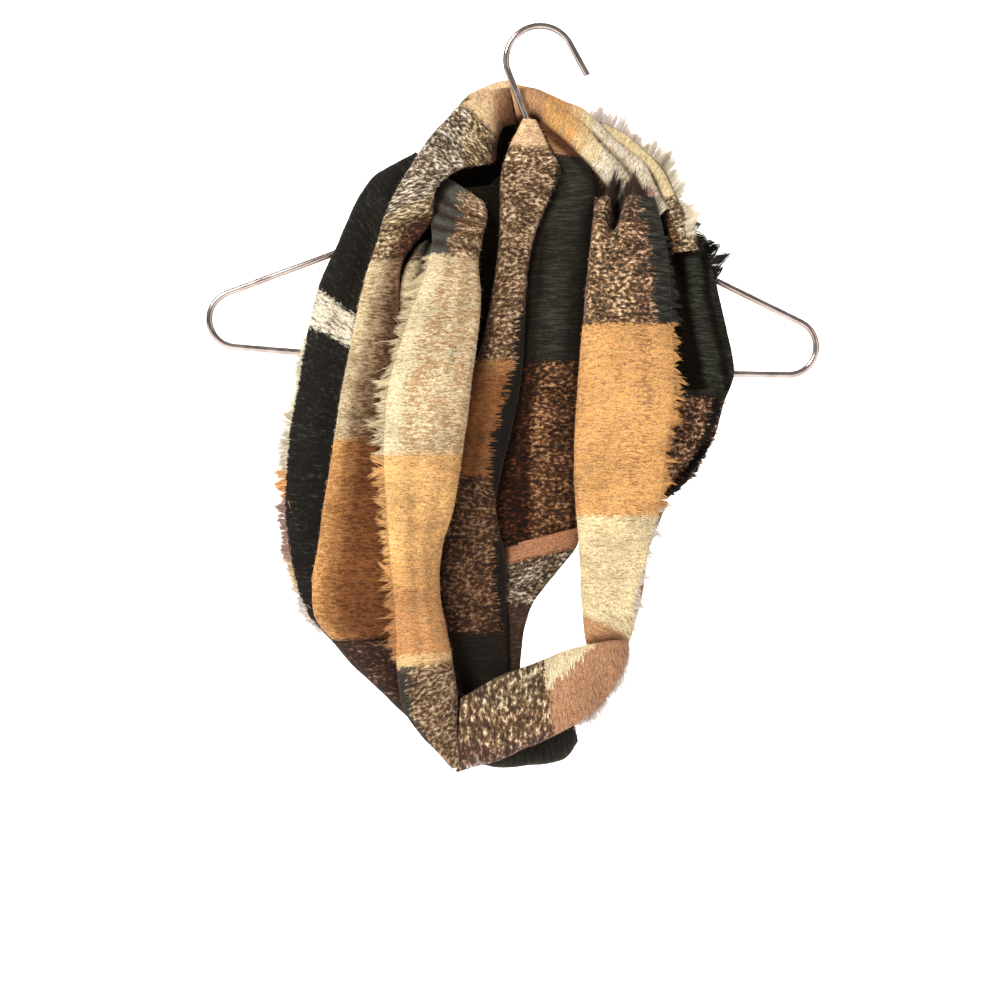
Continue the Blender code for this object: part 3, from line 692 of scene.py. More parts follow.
def thread_mesh(name, material, threads):
    """Flat threads, each a strip of quads along its path that ends in a point.

    A thread is its path, its width, and where it grows: across, along and how open that is.
    """
    vertices, faces, places, opens = [], [], [], []
    for path, width, (*place, open_there) in threads:
        start, ends = len(vertices), len(path) - 1
        for k, point in enumerate(path[:-1]):
            side = np.cross(path[k + 1] - point, TURN_TO_FRONT)
            side *= width / 2 * (1 - 0.5 * k / ends) / max(np.linalg.norm(side), 1e-9)
            vertices += [point - side, point + side]
        vertices.append(path[-1])
        for a in range(start, start + 2 * ends - 2, 2):
            faces.append((a, a + 1, a + 3, a + 2))
        a = start + 2 * (ends - 1)
        faces.append((a, a + 1, a + 2))
        places += [place] * (4 * (ends - 1) + 3)
        opens += [open_there] * (2 * ends + 1)
    places = np.array(places, np.float32) * MM
    piece = new_piece(name, np.array(vertices), faces, places, material)
    write_open(piece.data, opens)
    return piece


print("threads can be made")

# %% [markdown]
# A fringe grows in tufts. Each tuft has one tip that its threads run toward, one thread of it
# strays, and slow noise along the edge makes tufts longer, shorter and slanted in turn.

# %% Fringe
TUFT_WAVE = 8.0  # how far along the edge tufts are long or short together
LEAN_WAVE = 11.0  # and how far they lean together
FADE = 0.05  # the share of the edge over which a fringe starts and ends
STRAY = 5.0  # how much more loose a tuft's first thread is
ROOT_DEPTH = 2.0
KNEE = 0.12  # how far a thread bows out, as a share of its length
BEND = (0.0, 0.25, 0.5, 0.75, 1.0)
INSIDE = 0.35  # a fringe's direction is taken from this share further in


def edge_line(sheet, edge):
    """Roots, outward directions, cloth places and openness along one edge of the sheet.

    The edge is left, right or start, or the share across where the sheet turns out of sight.
    """
    if isinstance(edge, float):
        last = sheet.points.shape[1] - 1
        inside = edge - INSIDE if edge > 0.5 else edge + INSIDE
        pick, inner = np.s_[:, round(edge * last)], np.s_[:, round(inside * last)]
    else:
        pick, inner = {
            "left": (np.s_[:, 0], np.s_[:, 3]),
            "right": (np.s_[:, -1], np.s_[:, -4]),
            "start": (np.s_[0], np.s_[3]),
        }[edge]
    ways = sheet.points[pick] - sheet.points[inner]
    if isinstance(edge, float):
        ways[:, 1] = 0.0
    return sheet.points[pick], ways, sheet.across[pick], sheet.along[pick], sheet.open[pick]


def fringe(
    name, edge, start, end, reach, seed, spacing, strands, width, loose, fall=0.25, flare=0.0,
    stands_for=None, colours=None, tag="",
):
    """Tufts along part of an edge, from share start to share end."""
    sheet, chance = sheets[name], random.Random(seed)
    roots, ways, *cloth_places = edge_line(sheet, edge)
    run = distances(roots)

    def place_on(line, at):
        return np.array([np.interp(at, run, line[:, axis]) for axis in range(3)])

    def scatter(spread):
        return np.array([spread * chance.gauss(0, 1) for _ in range(3)])

    threads = []
    at = start * run[-1]
    while at < end * run[-1]:
        way = place_on(ways, at)
        way /= max(np.linalg.norm(way), 1e-9)
        way[1] += flare
        fade = min((at / run[-1] - start) / FADE, (end - at / run[-1]) / FADE, 1.0)
        length = reach * (0.78 + 0.9 * noise.noise(Vector((at / TUFT_WAVE, seed * 5.1, 4.0))))
        length *= chance.uniform(0.6, 1.15) * (0.5 + 0.5 * fade)
        lean = 0.9 * noise.noise(Vector((at / LEAN_WAVE, seed * 3.3, 0.0)))
        lean = lean + 0.3 * chance.gauss(0, 1)
        turned = way + np.array((0.0, 0.25 * chance.gauss(0, 1), lean - fall))
        tip = place_on(roots, at) + turned / np.linalg.norm(turned) * length
        for k in range(strands):
            own = at + spacing * 0.55 * chance.gauss(0, 1)
            root = place_on(roots, own) - way * ROOT_DEPTH
            root[1] += chance.uniform(0.0, SHEET_WALL)
            goal = tip + scatter(loose * (STRAY if k == 0 else 1.0))
            goal = root + (goal - root) * chance.uniform(0.7, 1.05)
            knee = (root + goal) / 2 + way * KNEE * length
            knee += scatter(0.4)
            path = [root * (1 - t) ** 2 + knee * 2 * t * (1 - t) + goal * t * t for t in BEND]
            grows = [np.interp(own, run, line) for line in cloth_places]
            if colours:
                grows[1] = own
            threads.append((path, width * chance.uniform(0.6, 1.4), grows))
        at += spacing * chance.uniform(0.6, 1.4)
    material = sheet.material
    if colours:
        full = (sheet.across.max(), run[-1])
        material = plaid(f"{name} fringe".replace("_", " "), colours, ((0, "cream*"),), full)
    side = tag or ("outer" if isinstance(edge, float) else edge)
    piece = thread_mesh(f"{name}_{side}_fringe", material, threads)
    if stands_for:
        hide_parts(stands_for)
    return piece


print("fringes can be grown")

# %% [markdown]
# Nap is the same thread, shorter and with one bend. Every hair leaves the cloth at a slant and
# then lies down along it, mostly downward, the way that the brush went.

# %% Nap
NAP_PER_CM2 = 14.0
NAP_LENGTH = 2.6
NAP_WIDTH = 0.2
NAP_ROOT = 0.3
NAP_FALL = (0.0, 0.0, -0.6)
NAP_SEEDS = (*range(11, 21), *range(31, 39))  # in the order of the sheets


def nap(name, seed):
    """Short bent hairs all over the sheet's face."""
    sheet, chance = sheets[name], random.Random(seed)
    rows, count = sheet.points.shape[:2]
    area = np.linalg.norm(facing(sheet.points), axis=2).sum()
    threads = []
    for _ in range(int(area / 100 * NAP_PER_CM2)):
        r, k = chance.randrange(rows), chance.randrange(count)
        r2, k2 = min(r + 1, rows - 1), min(k + 1, count - 1)
        slide = chance.random()
        point = sheet.points[r, k] * (1 - slide) + sheet.points[r2, k2] * slide
        normal = sheet.normals[r, k]
        heading = np.array([chance.gauss(0, 1) for _ in range(3)]) + np.array(NAP_FALL)
        heading -= normal * heading.dot(normal)
        heading /= max(np.linalg.norm(heading), 1e-9)
        long = NAP_LENGTH * chance.uniform(0.5, 1.3)
        lift = chance.uniform(0.25, 0.8)
        middle = point + (normal * lift + heading * 0.5) * long / 2
        tip = middle + (normal * lift * 0.4 + heading) * long / 2
        grows = (sheet.across[r, k], sheet.along[r, k], sheet.open[r, k])
        width = NAP_WIDTH * chance.uniform(0.6, 1.4)
        threads.append(([point - normal * NAP_ROOT, middle, tip], width, grows))
    return thread_mesh(f"{name}_nap", sheet.material, threads)


print("nap can be grown:", NAP_PER_CM2, "hairs on a square centimetre")

# %% [markdown]
# ## The hanger
# The hanger is two pieces of chromed steel wire, 4.6 mm thick. One is bent into the frame, a flat
# triangle with round corners and a bar that bows a little. The other is the hook, an arc with a
# straight tip and a shank that leans down to the frame's top. A curve with a round bevel is the
# plainest way to make bent wire, because its points are the bends themselves.

# %% Wire sizes
WIRE = 4.6  # diameter
HANGER_WIDTH = 420.0
CORNER_RADIUS = 19.0
ARM_SLOPE = math.radians(23.2)
APEX_RADIUS = 12.0
BAR_BOW = 3.5
HANGER_TILT = math.radians(2.9)
FRAME_MIDDLE = (-18.7, -207.8)
HOOK_RADIUS = 23.25
HOOK_START = math.radians(201.7)
HOOK_END = math.radians(28.7)
TIP_LENGTH = 25.0
SHANK_LENGTH = 31.0
SHANK_BEND = 15.0
SEAT_GAP = 0.3
ARC_STEPS = 24
APEX_STEPS = 10
SHANK_STEPS = 16
SPAN = HANGER_WIDTH / 2 - WIRE / 2 - CORNER_RADIUS  # from the middle to a corner's centre
APEX_HEIGHT = (
    CORNER_RADIUS / math.cos(ARM_SLOPE)
    + SPAN * math.tan(ARM_SLOPE)
    - APEX_RADIUS / math.cos(ARM_SLOPE)
)
print("the apex bends about a point", round(APEX_HEIGHT, 1), "mm above those of the corners")


# %% Wire routes
def arc(centre, radius, start, end, steps):
    turns = [start + (end - start) * k / steps for k in range(steps + 1)]
    return [(centre[0] + radius * math.cos(t), centre[1] + radius * math.sin(t)) for t in turns]


def tilted(point):
    x, z = Matrix.Rotation(-HANGER_TILT, 2) @ Vector(point)
    return (FRAME_MIDDLE[0] + x, FRAME_MIDDLE[1] + z)


def frame_points():
    """The frame's wire, once round: right corner, apex, left corner, bowed bar."""
    quarter = math.pi / 2
    points = arc((SPAN, 0), CORNER_RADIUS, -quarter, quarter - ARM_SLOPE, ARC_STEPS)
    turn = (quarter - ARM_SLOPE, quarter + ARM_SLOPE)
    points += arc((0, APEX_HEIGHT), APEX_RADIUS, *turn, APEX_STEPS)
    points += arc((-SPAN, 0), CORNER_RADIUS, quarter + ARM_SLOPE, 3 * quarter, ARC_STEPS)
    for k in range(1, ARC_STEPS):
        along = -1 + 2 * k / ARC_STEPS
        points.append((SPAN * along, -CORNER_RADIUS - BAR_BOW * (1 - along * along)))
    return [tilted(point) for point in points]


def hook_points():
    """The hook's wire, from its tip to its seat on the frame's apex."""
    bend = arc((0.0, WIRE / 2 - HOOK_RADIUS), HOOK_RADIUS, HOOK_END, HOOK_START, 2 * ARC_STEPS)
    tip = Vector(bend[0]) + Vector((math.sin(HOOK_END), -math.cos(HOOK_END))) * TIP_LENGTH
    shank = Vector((-math.sin(HOOK_START), math.cos(HOOK_START)))
    top = Vector(bend[-1]) + shank * SHANK_LENGTH
    seat_height = APEX_HEIGHT + APEX_RADIUS + WIRE / 2 + SEAT_GAP
    seat = Vector(tilted((0.0, seat_height)))
    down = seat - Vector(tilted((0.0, seat_height + 1.0)))
    points = [tuple(tip)] + bend
    for k in range(SHANK_STEPS + 1):
        t = k / SHANK_STEPS
        points.append(
            tuple(
                top * (1 - t) ** 3
                + (top + shank * SHANK_BEND) * 3 * t * (1 - t) ** 2
                + (seat - down * SHANK_BEND) * 3 * t * t * (1 - t)
                + seat * t**3
            )
        )
    return points


print("wire points:", len(frame_points()) + len(hook_points()))

# %% [markdown]
# The plating is bright but not new: faint marks from drawing the wire, and a gloss that varies a
# little. One noise gives both. Both tints lean pink: a painted reflection of the warm cloth.

# %% Bend the wire
# The pink in both tints is a painted reflection of the cloth; the noise between them follows the
# drawing marks.
DULL_CHROME = (0.46, 0.36, 0.33, 1.0)
BRIGHT_CHROME = (0.62, 0.55, 0.52, 1.0)
WIRE_ROUGHNESS = (0.12, 0.26)


def chrome():
    """Bright plating with faint drawing marks, a slightly uneven gloss and a painted pink
    reflection.
    """
    n = Nodes("bright wire")
    wear = n.noise(n.new("TexCoord").outputs["Object"], 60.0, 4.0)
    n.put(n.blend(n.step(wear, 0.35, 0.65), DULL_CHROME, BRIGHT_CHROME), n.shader["Base Color"])
    n.put(n.vary(wear, *WIRE_ROUGHNESS), n.shader["Roughness"])
    n.put(1.0, n.shader["Metallic"])
    return n.material


def bend_wire(node, points, closed, material):
    curve = bpy.data.curves.new(node + "_wire", "CURVE")
    curve.dimensions = "3D"
    curve.bevel_depth = WIRE / 2 * MM
    curve.bevel_resolution = 6
    curve.use_fill_caps = True
    spline = curve.splines.new("POLY")
    spline.points.add(len(points) - 1)
    for point, (x, z) in zip(spline.points, points):
        point.co = (x * MM, 0.0, z * MM, 1.0)
    spline.use_cyclic_u = closed
    spline.use_smooth = True
    curve.materials.append(material)
    wire = bpy.data.objects.new(node + "_wire", curve)
    bpy.context.scene.collection.objects.link(wire)
    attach(wire, "root")
    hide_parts(node)


bright_wire = chrome()
bend_wire("hanger_frame", frame_points(), True, bright_wire)
bend_wire("hanger_hook", hook_points(), False, bright_wire)
print("frame and hook bent")

# %% [markdown]
# ## Outer turn, left side
# This stretch comes over the hook's shank as a thick roll and hangs down the front, left of the
# middle. Camel, dark, cream and camel weft bands follow each other down it. Its left edge is a
# round fold, and its right edge tucks in behind the inner turn.

# %% Outer left panel
# Columns of every table: left x, y, z, right x, y, z, swell, left wrap, right wrap.
lay_sheet(
    "outer_left_panel",
    """
    -21.2 17 -37.7 -16.4 17 -62.5 11 160 10
    -34.3 14 -40.9 -24.6 14 -65 12 150 10
    -52.1 7 -49.4 -29.5 7 -76.2 13 130 10
    -67.7 -2 -65 -31.5 -2 -90.9 13 100 20
    -82.5 -12 -86.7 -53.2 -11 -97.4 13 70 30
    -95.8 -19 -110.5 -70.8 -18 -111.1 12 60 30
    -105.1 -24 -131.3 -74.8 -22 -133.8 12 50 30
    -109.8 -26 -146.4 -83.5 -25 -146.3 12 45 30
    -114.4 -28 -159.4 -91.5 -27 -157.3 12 40 25
    -123.1 -30 -193.9 -94.1 -29 -195.2 13 35 20
    -129.8 -31 -227.6 -94.1 -30 -228.9 15 30 15
    -135.1 -31 -254.6 -92.1 -30 -257.9 16 30 10
    -139.9 -31 -288.2 -89.4 -30 -288.2 17 30 10
    -145.2 -31 -321.9 -86.7 -30 -321.9 17 30 10
    -150 -31 -352.2 -84 -30 -352.2 17 30 10
    -154.1 -30 -382.5 -81.3 -30 -382.5 17 30 10
    -150.7 -30 -404.1 -77.3 -30 -401.4 16 30 10
    -140.6 -29 -416.3 -73.2 -29 -414.9 14 30 10
    """,
    weft=((0, "sunlit"), (24, "dark"), (152, "cream"), (274, "camel"), (409, "maroon")),
    warp=((0, "white"), (1, "butter"), (25, "tan"), (58, "umber"), (120, "camel"), (150, "tan")),
    skew=(
        (0.0, 4.0), (0.05, 14.0), (0.10, 48.0), (0.20, 54.0), (0.28, 54.0), (0.37, 6.0),
        (0.42, 0.0), (0.6931, 0.0), (0.6932, -120.0), (1.0, -120.0),
    ),
    slant=((0.0, -14.0, 0.0), (0.09, -13.0, 0.0), (0.25, 0.0, 0.0), (1.0, 0.0, 0.0)),
    # painted shade: the turn's right side, away from the light, darkens across the sheet
    shade=(
        (9, 1.0), (18, 0.72), (27, 0.28), (38, 0.06), (115, 0.06), (119, 1.0), (129, 1.0),
        (138, 0.72), (147, 0.28), (158, 0.06),
    ),
    creases=(
        (0.10, 1.15, 0.90, 0.85, 0.42, 11.0), (0.40, 0.95, 0.42, 0.50, 0.10, 2.0),
        (0.02, 0.26, 0.62, 0.56, 0.09, 3.0), (0.22, 0.48, 0.30, 0.38, 0.07, 1.8),
    ),
    flat=(0.072, 0.411), rests_on=("hanger_frame", "top_left_lobe"),
)

# %% [markdown]
# The lobe behind the shank is the top fold of the same turn. It rolls over the back of the hook.

# %% Top left lobe
lay_sheet(
    "top_left_lobe",
    """
    -19.1 31.5 -30.1 -17.7 31.5 -46.8 8 160 10
    -33 30 -33.1 -27.4 30 -47 8 160 10
    -46.1 26 -39.9 -39.2 27 -52.9 8 150 10
    -57.1 20 -51.1 -49.5 21 -63.4 8 140 10
    -67.3 14 -63.6 -56.3 14 -78.1 8 130 10
    -77.6 9 -75.9 -62.4 8 -92.5 8 110 10
    """,
    weft=((0, "sunlit"), (30, "dark")),
    warp=((0, "camel"), (20, "sunlit"), (34, "camel")),
    creases=((0.1, 0.9, 0.35, 0.5, 0.1, 1.5),),
    # tone above 1 lightens the painted shade: painted light on the lobe's lit top
    ticks=0.2, tone=1.5,
    flat=(0.045, 0.074), rests_on=("hanger_frame",),
)

# %% [markdown]
# ## A pale fold between the turns
# A narrow fold of the cream band stands between the outer and the inner turn. Its top is in shade.

# %% Left pale fold
lay_sheet(
    "left_pale_fold",
    """
    -83.7 -18 -149.7 -74.9 -16 -145.5 6 20 10
    -91.7 -20 -163.4 -77.6 -18 -161.9 8 20 10
    -95.7 -23 -179.9 -79.5 -20 -179.7 9 20 10
    -96.3 -25 -203.7 -80.9 -21 -203.5 9 20 10
    -94.3 -25 -224.6 -81.5 -23 -224.5 8 20 10
    """,
    weft=((0, "grey"), (14, "cream")),
    warp=((0, "camel"), (6, "cream"), (22, "pale")),
    creases=((0.0, 1.0, 0.6, 0.7, 0.1, 1.0),),
    share=0.35,
    flat=(0.029, 0.079), rests_on=("outer_left_panel",), slot="cream_cloth",
)

# %% [markdown]
# ## Inner turn, left side
# The raw selvedge of this stretch faces left. Its last 10 mm or so is weft alone, so it is clean
# cream or clean camel with fine streaks across. Further in, the camel warp joins in and the cream
# band turns to peach speckle. Below, the dark band meets the band that crosses to the right.

# %% Front left panel
lay_sheet(
    "front_left_panel",
    """
    -67.7 -1 -99.7 -38.3 -9 -118.3 5 -35 20
    -72.5 -3 -110.2 -36.2 -13 -124.8 9 -35 20
    -75 -10 -125.9 -36.2 -16 -132.6 11 -35 35
    -73.4 -22 -144 -38.9 -19 -141 12 -35 50
    -75.9 -31 -161.6 -41.6 -22 -159.5 13 -35 50
    -83.8 -36 -187.6 -40.2 -25 -186.8 14 -35 50
    -94.4 -40 -218.7 -42.9 -28 -218 15 -35 50
    -101.1 -42 -244.9 -46.3 -30 -244.4 16 -35 50
    -103.7 -43 -268.4 -49 -30 -268 16 -35 50
    -105 -43 -293.8 -53 -30 -292.3 16 -35 50
    -103.7 -43 -321.9 -58.4 -30 -325.3 16 -35 50
    -101 -43 -355.4 -66.5 -31 -355.6 15 -35 50
    -97.7 -43 -388.8 -67.8 -33 -389.2 14 -35 50
    -96.3 -43 -415.6 -61.7 -36 -415.9 13 -35 50
    -95.6 -44 -437 -58.2 -40 -435.9 12 -35 40
    -92.2 -46 -459.6 -55.5 -45 -455.6 10 -35 30
    -82.2 -47 -476.2 -54.8 -48 -474.8 8 -35 20
    -67.5 -48 -492.1 -54.1 -50 -490.6 6 -35 20
    -59.4 -50 -500.6 -53.4 -50 -500 4 -30 10
    """,
    weft=(
        (0, "ash"), (50, "cream"), (189, "amber"), (262, "camel"), (280, "russet"), (325, "honey"),
        (333, "slate"),
    ),
    warp=((0, "cream*"), (12, "sunlit"), (66, "cream*"), (77, "pale")),
    skew=(
        (0.0, 9.0), (0.13, 9.0), (0.18, 0.0), (0.7717, 0.0), (0.7718, -68.0), (0.86, -72.0),
        (1.0, -84.0),
    ),
    slant=(
        (0.0, 0.0, -13.0), (0.20, 0.0, -13.0), (0.30, 0.0, 0.0), (0.72, 0.0, 0.0),
        (0.80, 0.0, 14.0), (1.0, 0.0, 14.0),
    ),
    # painted shade: dark dips between the gathered folds at the top, and a darker V at the bottom
    fade=(
        (0, 0.8), (7, 0.9), (12, 0.05), (16, 0.9), (21, 0.05), (26, 0.9), (31, 0.05), (36, 0.9),
        (42, 0.2), (47, 0.9), (60, 0.92), (183, 0.92), (195, 1.0), (330, 1.0), (338, 0.5),
        (403, 0.5),
    ),
    creases=(
        (0.05, 0.75, 0.62, 0.55, 0.10, 2.5), (0.35, 1.00, 0.25, 0.40, 0.08, 2.0),
        (0.30, 0.62, 0.80, 0.72, 0.06, 1.6), (0.10, 0.34, 0.30, 0.38, 0.07, 1.4),
    ),
    dents=(
        (12.0, 0.35, 2.2, 0.34, 4.0, 0.0), (21.0, 0.30, 2.4, 0.36, 4.0, 0.0),
        (31.0, 0.35, 2.6, 0.36, 3.6, 0.0), (42.0, 0.30, 2.6, 0.30, 3.0, 0.0),
    ),
    share=0.58,
    flat=(0.057, 0.403), rests_on=("outer_left_panel", "front_band"), slot="cream_cloth",
    fringes=(
        dict(
            edge="left", start=0.14, end=0.80, reach=13.5, spacing=3.2, strands=24, width=0.28,
            loose=0.9, seed=21, stands_for="front_left_fringe",
        ),
    ),
)

# %% [markdown]
# ## The band
# At the bottom of the inner turn the cloth is one band that runs up to the right. It starts in a
# sharp crease with the left side. The boundary of dark and cream crosses it at its middle, and the
# raw edge with its short fringe is below.

# %% Front band
lay_sheet(
    "front_band",
    """
    -56.1 -48 -504.2 -54.1 -45 -453.6 6 10 20
    -37.4 -50 -498 -38.1 -46 -444.9 9 40 30
    -19.4 -50 -492 -20.7 -45 -436.9 10 60 40
    2.6 -49 -482 -3.3 -44 -429.6 11 60 40
    22.7 -47 -471.5 14.1 -43 -423 11 50 40
    38.8 -44 -460.4 29.5 -42 -419 11 40 40
    48.3 -42 -449.1 41.6 -42 -417 10 30 40
    55.7 -41 -434.5 51.7 -41 -416.4 8 20 30
    59.7 -40 -422.4 58.4 -40 -416.4 3 10 10
    """,
    weft=((0, "cocoa"), (66, "clay")),
    warp=((0, "blush"), (10, "mauve"), (24, "pale"), (50, "cream+")),
    creases=((0.0, 0.7, 0.55, 0.45, 0.12, 1.8), (0.45, 1.0, 0.35, 0.55, 0.1, 1.6)),
    share=0.40, lump=(4.6, 3.0),
    flat=(0.069, 0.128), rests_on=("front_left_panel", "front_right_panel"), slot="speckle_cloth",
    fringes=(
        dict(
            edge=0.14, start=0.58, end=0.99, reach=9.0, spacing=1.0, strands=18, width=0.2,
            loose=1.5, fall=0.1, seed=22, stands_for="front_band_fringe", colours=((0, "blush"),),
        ),
    ),
)

# %% [markdown]
# ## Inner turn, right side
# Here the raw edge faces right. The top is gathered in two lobes with a deep notch between them
# and hangs from under the rolls. Down it come the dark, camel and cream bands.

# %% Front right panel
lay_sheet(
    "front_right_panel",
    """
    36.9 -22 -114.2 76.9 -19 -117.3 7 10 -35
    34 -28 -136.4 82 -25 -137.5 12 40 -35
    31.2 -30 -163.6 86.1 -24 -162.4 14 50 -35
    29.1 -32 -194 88.1 -25 -193.6 15 50 -35
    26.4 -33 -221 89.3 -27 -220.7 16 50 -35
    24.4 -34 -254.7 89.2 -29 -254.5 16 50 -35
    23 -35 -288.3 83.7 -31 -288.2 16 50 -35
    23 -36 -321.9 80.3 -32 -321.9 16 50 -35
    25 -37 -355.5 72.2 -33 -355.5 15 50 -35
    27 -36 -385.7 64.8 -33 -385.8 13 50 -35
    29.1 -35 -407.9 61.4 -33 -407.3 9 40 -35
    31.9 -29 -424.4 56.9 -29 -424.4 5 30 -35
    """,
    # the last tan band, slanted by the slant table, is painted shade under the bottom of the fold
    weft=((0, "dark"), (89, "camel"), (218, "butter"), (288, "tan")),
    warp=((0, "cream*"), (13, "fawn"), (27, "sunlit"), (62, "fawn")),
    slant=((0.0, 0.0, 0.0), (0.8, 0.0, 0.0), (0.9, 10.0, -14.0), (1.0, 10.0, -14.0)),
    creases=(
        (-0.20, 0.16, 0.34, 0.46, 0.09, 7.0), (0.30, 0.95, 0.60, 0.48, 0.12, 2.5),
        (0.05, 0.45, 0.72, 0.80, 0.06, 2.0), (0.55, 1.00, 0.28, 0.36, 0.07, 1.8),
    ),
    dents=((0.0, 0.42, 20.0, 0.09, 9.0, -17.0), (0.0, 0.10, 12.0, 0.14, 3.0, -4.0)),
    share=0.40, raw="right",
    flat=(0.072, 0.313), rests_on=("top_right_front_roll", "front_band"),
    fringes=(
        dict(
            edge="right", start=0.10, end=0.95, reach=9.0, spacing=2.4, strands=16, width=0.3,
            loose=0.6, seed=23, stands_for="front_right_fringe",
            colours=((0, "moss"), (88, "camel"), (214, "blush")),
        ),
        dict(
            edge="start", start=0.16, end=1.0, reach=18.0, spacing=0.9, strands=20, width=0.3,
            loose=1.0, fall=-0.4, flare=-0.5, seed=24, stands_for="front_right_brush",
            colours=((0, "cocoa"), (60, "bark"), (68, "mauve")),
        ),
    ),
)

# %% [markdown]
# ## Inside the loop
# Two folds of the far side fill the loop behind the inner turn. The left one starts as a camel
# point under the hook and runs down through speckle to dark green. The right one is dark green,
# then speckle. They are in shade.

# %% Centre left fold
lay_sheet(
    "centre_left_fold",
    """
    -11.7 -5 -61.9 -2.9 -8 -63 2 20 0
    -19.9 -9 -80.2 5.9 -14 -81.5 5 40 0
    -25.4 -11 -96.1 14 -17 -97.4 6 50 0
    -27.4 -13 -118 6.5 -18 -116.5 7 50 0
    -28.1 -14 -139.9 -2.3 -18 -138.9 7 50 0
    -30.1 -14 -162.3 -7.7 -18 -160.6 7 50 0
    -34.2 -14 -186.1 -9.8 -18 -186.3 7 50 0
    -38.3 -14 -207.8 -11.1 -18 -206.7 7 50 0
    -45.1 -14 -230.9 -12.5 -18 -230.4 7 40 0
    -53.2 -14 -260.8 -16.5 -17 -260.9 7 40 0
    -60 -13 -291.3 -24.7 -17 -293.4 8 40 0
    -63.4 -12 -321.9 -30.1 -17 -325.3 7 40 0
    -66.8 -12 -362.7 -24.7 -14 -359.3 8 40 0
    -65.5 -12 -396.7 -23.3 -12 -393.3 8 40 10
    -62.8 -12 -423.9 -21.3 -11 -423.9 8 40 10
    -57.3 -13 -458.5 -20.6 -12 -451.8 7 40 10
    """,
    weft=((0, "sunlit"), (20, "cocoa"), (168, "camel"), (248, "maroon"), (354, "moss")),
    warp=((0, "pale"), (26, "dark+")),
    skew=(
        (0.0, 24.0), (0.36, 20.0), (0.44, 4.0), (0.53, 7.5), (0.70, 11.0), (0.73, 20.0),
        (1.0, 20.0),
    ),
    # painted shade: dark on the right, where it turns into the crevice, and darker down inside the
    # loop
    shade=((0, 1.0), (29, 1.0), (36, 0.06)),
    fade=((0, 1.0), (26, 0.95), (40, 0.66), (160, 0.44), (185, 0.10), (398, 0.13)),
    creases=((0.25, 1.00, 0.60, 0.45, 0.12, 2.5), (0.05, 0.45, 0.80, 0.72, 0.08, 1.5)),
    flat=(0.045, 0.398), rests_on=("hanger_frame", "back_left_layer"), slot="speckle_cloth",
)

# %% Centre right fold
lay_sheet(
    "centre_right_fold",
    """
    -4.9 -4 -63.9 2 -4 -65.9 2 -20 10
    3.3 -6 -77.8 17.6 -5.6 -78.4 4 -20 20
    8.7 -8 -91.6 31.2 -8 -93 5 -20 30
    3.3 -8 -112.1 39.5 -5 -110.4 9 -20 40
    -4.2 -8 -131.1 38.8 -5 -129.5 10 -20 10
    -9.7 -8 -155 36.1 -5 -153.4 10 -20 10
    -13.8 -8 -185.6 32.6 -5 -185.4 10 -20 10
    -15.1 -8 -219.7 31.3 -5 -219.6 10 -20 10
    -21.3 -6 -253.7 29.2 -5 -253.7 10 -20 10
    -27.4 -5 -287.8 28.5 -5 -287.8 9 -20 10
    -35.6 -5 -321.9 29.2 -5 -321.9 8 -20 10
    -34.2 -5 -354.6 29.2 -5 -347.8 8 -20 10
    """,
    weft=((0, "tan"), (29, "moss"), (172, "dark")),
    warp=((0, "brown"), (10, "tan"), (40, "brown")),
    # painted shade: black crevices at both edges, and darker lower down inside the loop
    shade=((0, 0.0), (9, 0.05), (16, 1.0), (37, 1.0), (43, 0.12)),
    fade=((0, 1.0), (168, 1.0), (180, 0.75), (296, 0.75)),
    creases=((0.10, 0.95, 0.35, 0.40, 0.10, 2.0), (0.3, 0.9, 0.75, 0.7, 0.08, 1.6)),
    tone=0.8, sheen=0.08, raw="right",
    flat=(0.048, 0.296), rests_on=("hanger_frame", "side_right_panel"), slot="dark_cloth",
)

# %% [markdown]
# A scrap of hem turns forward below them, with a pinkish raw edge.

# %% Inner hem
lay_sheet(
    "inner_hem",
    """
    -29.4 -7 -354.6 26.9 -14 -340.2 3 0 0
    -29.4 -7 -366.9 24.9 -14 -353.1 3 0 0
    -28.8 -7 -379.2 10.6 -14 -372.2 3 0 0
    -28.8 -7 -394.2 -4.3 -13 -389.9 3 0 0
    -28.1 -7 -410.5 -9.7 -12 -404.8 2 0 0
    -27.4 -7 -436.4 -13.1 -12 -433.4 2 0 0
    -26 -8 -454.1 -13.8 -13 -449.7 2 0 0
    """,
    weft=((0, "coral"), (13, "dark"), (50, "bark")),
    warp=((0, "white"),),
    # tone below 1 deepens the painted shade of the hem inside the loop
    share=0.42, tone=0.66,
    flat=(0.024, 0.107), rests_on=("centre_left_fold", "centre_right_fold"), slot="speckle_cloth",
)

# %% [markdown]
# ## Bottom of the outer turn
# The outer turn swings to the right under the inner one, as a deep dark roll.

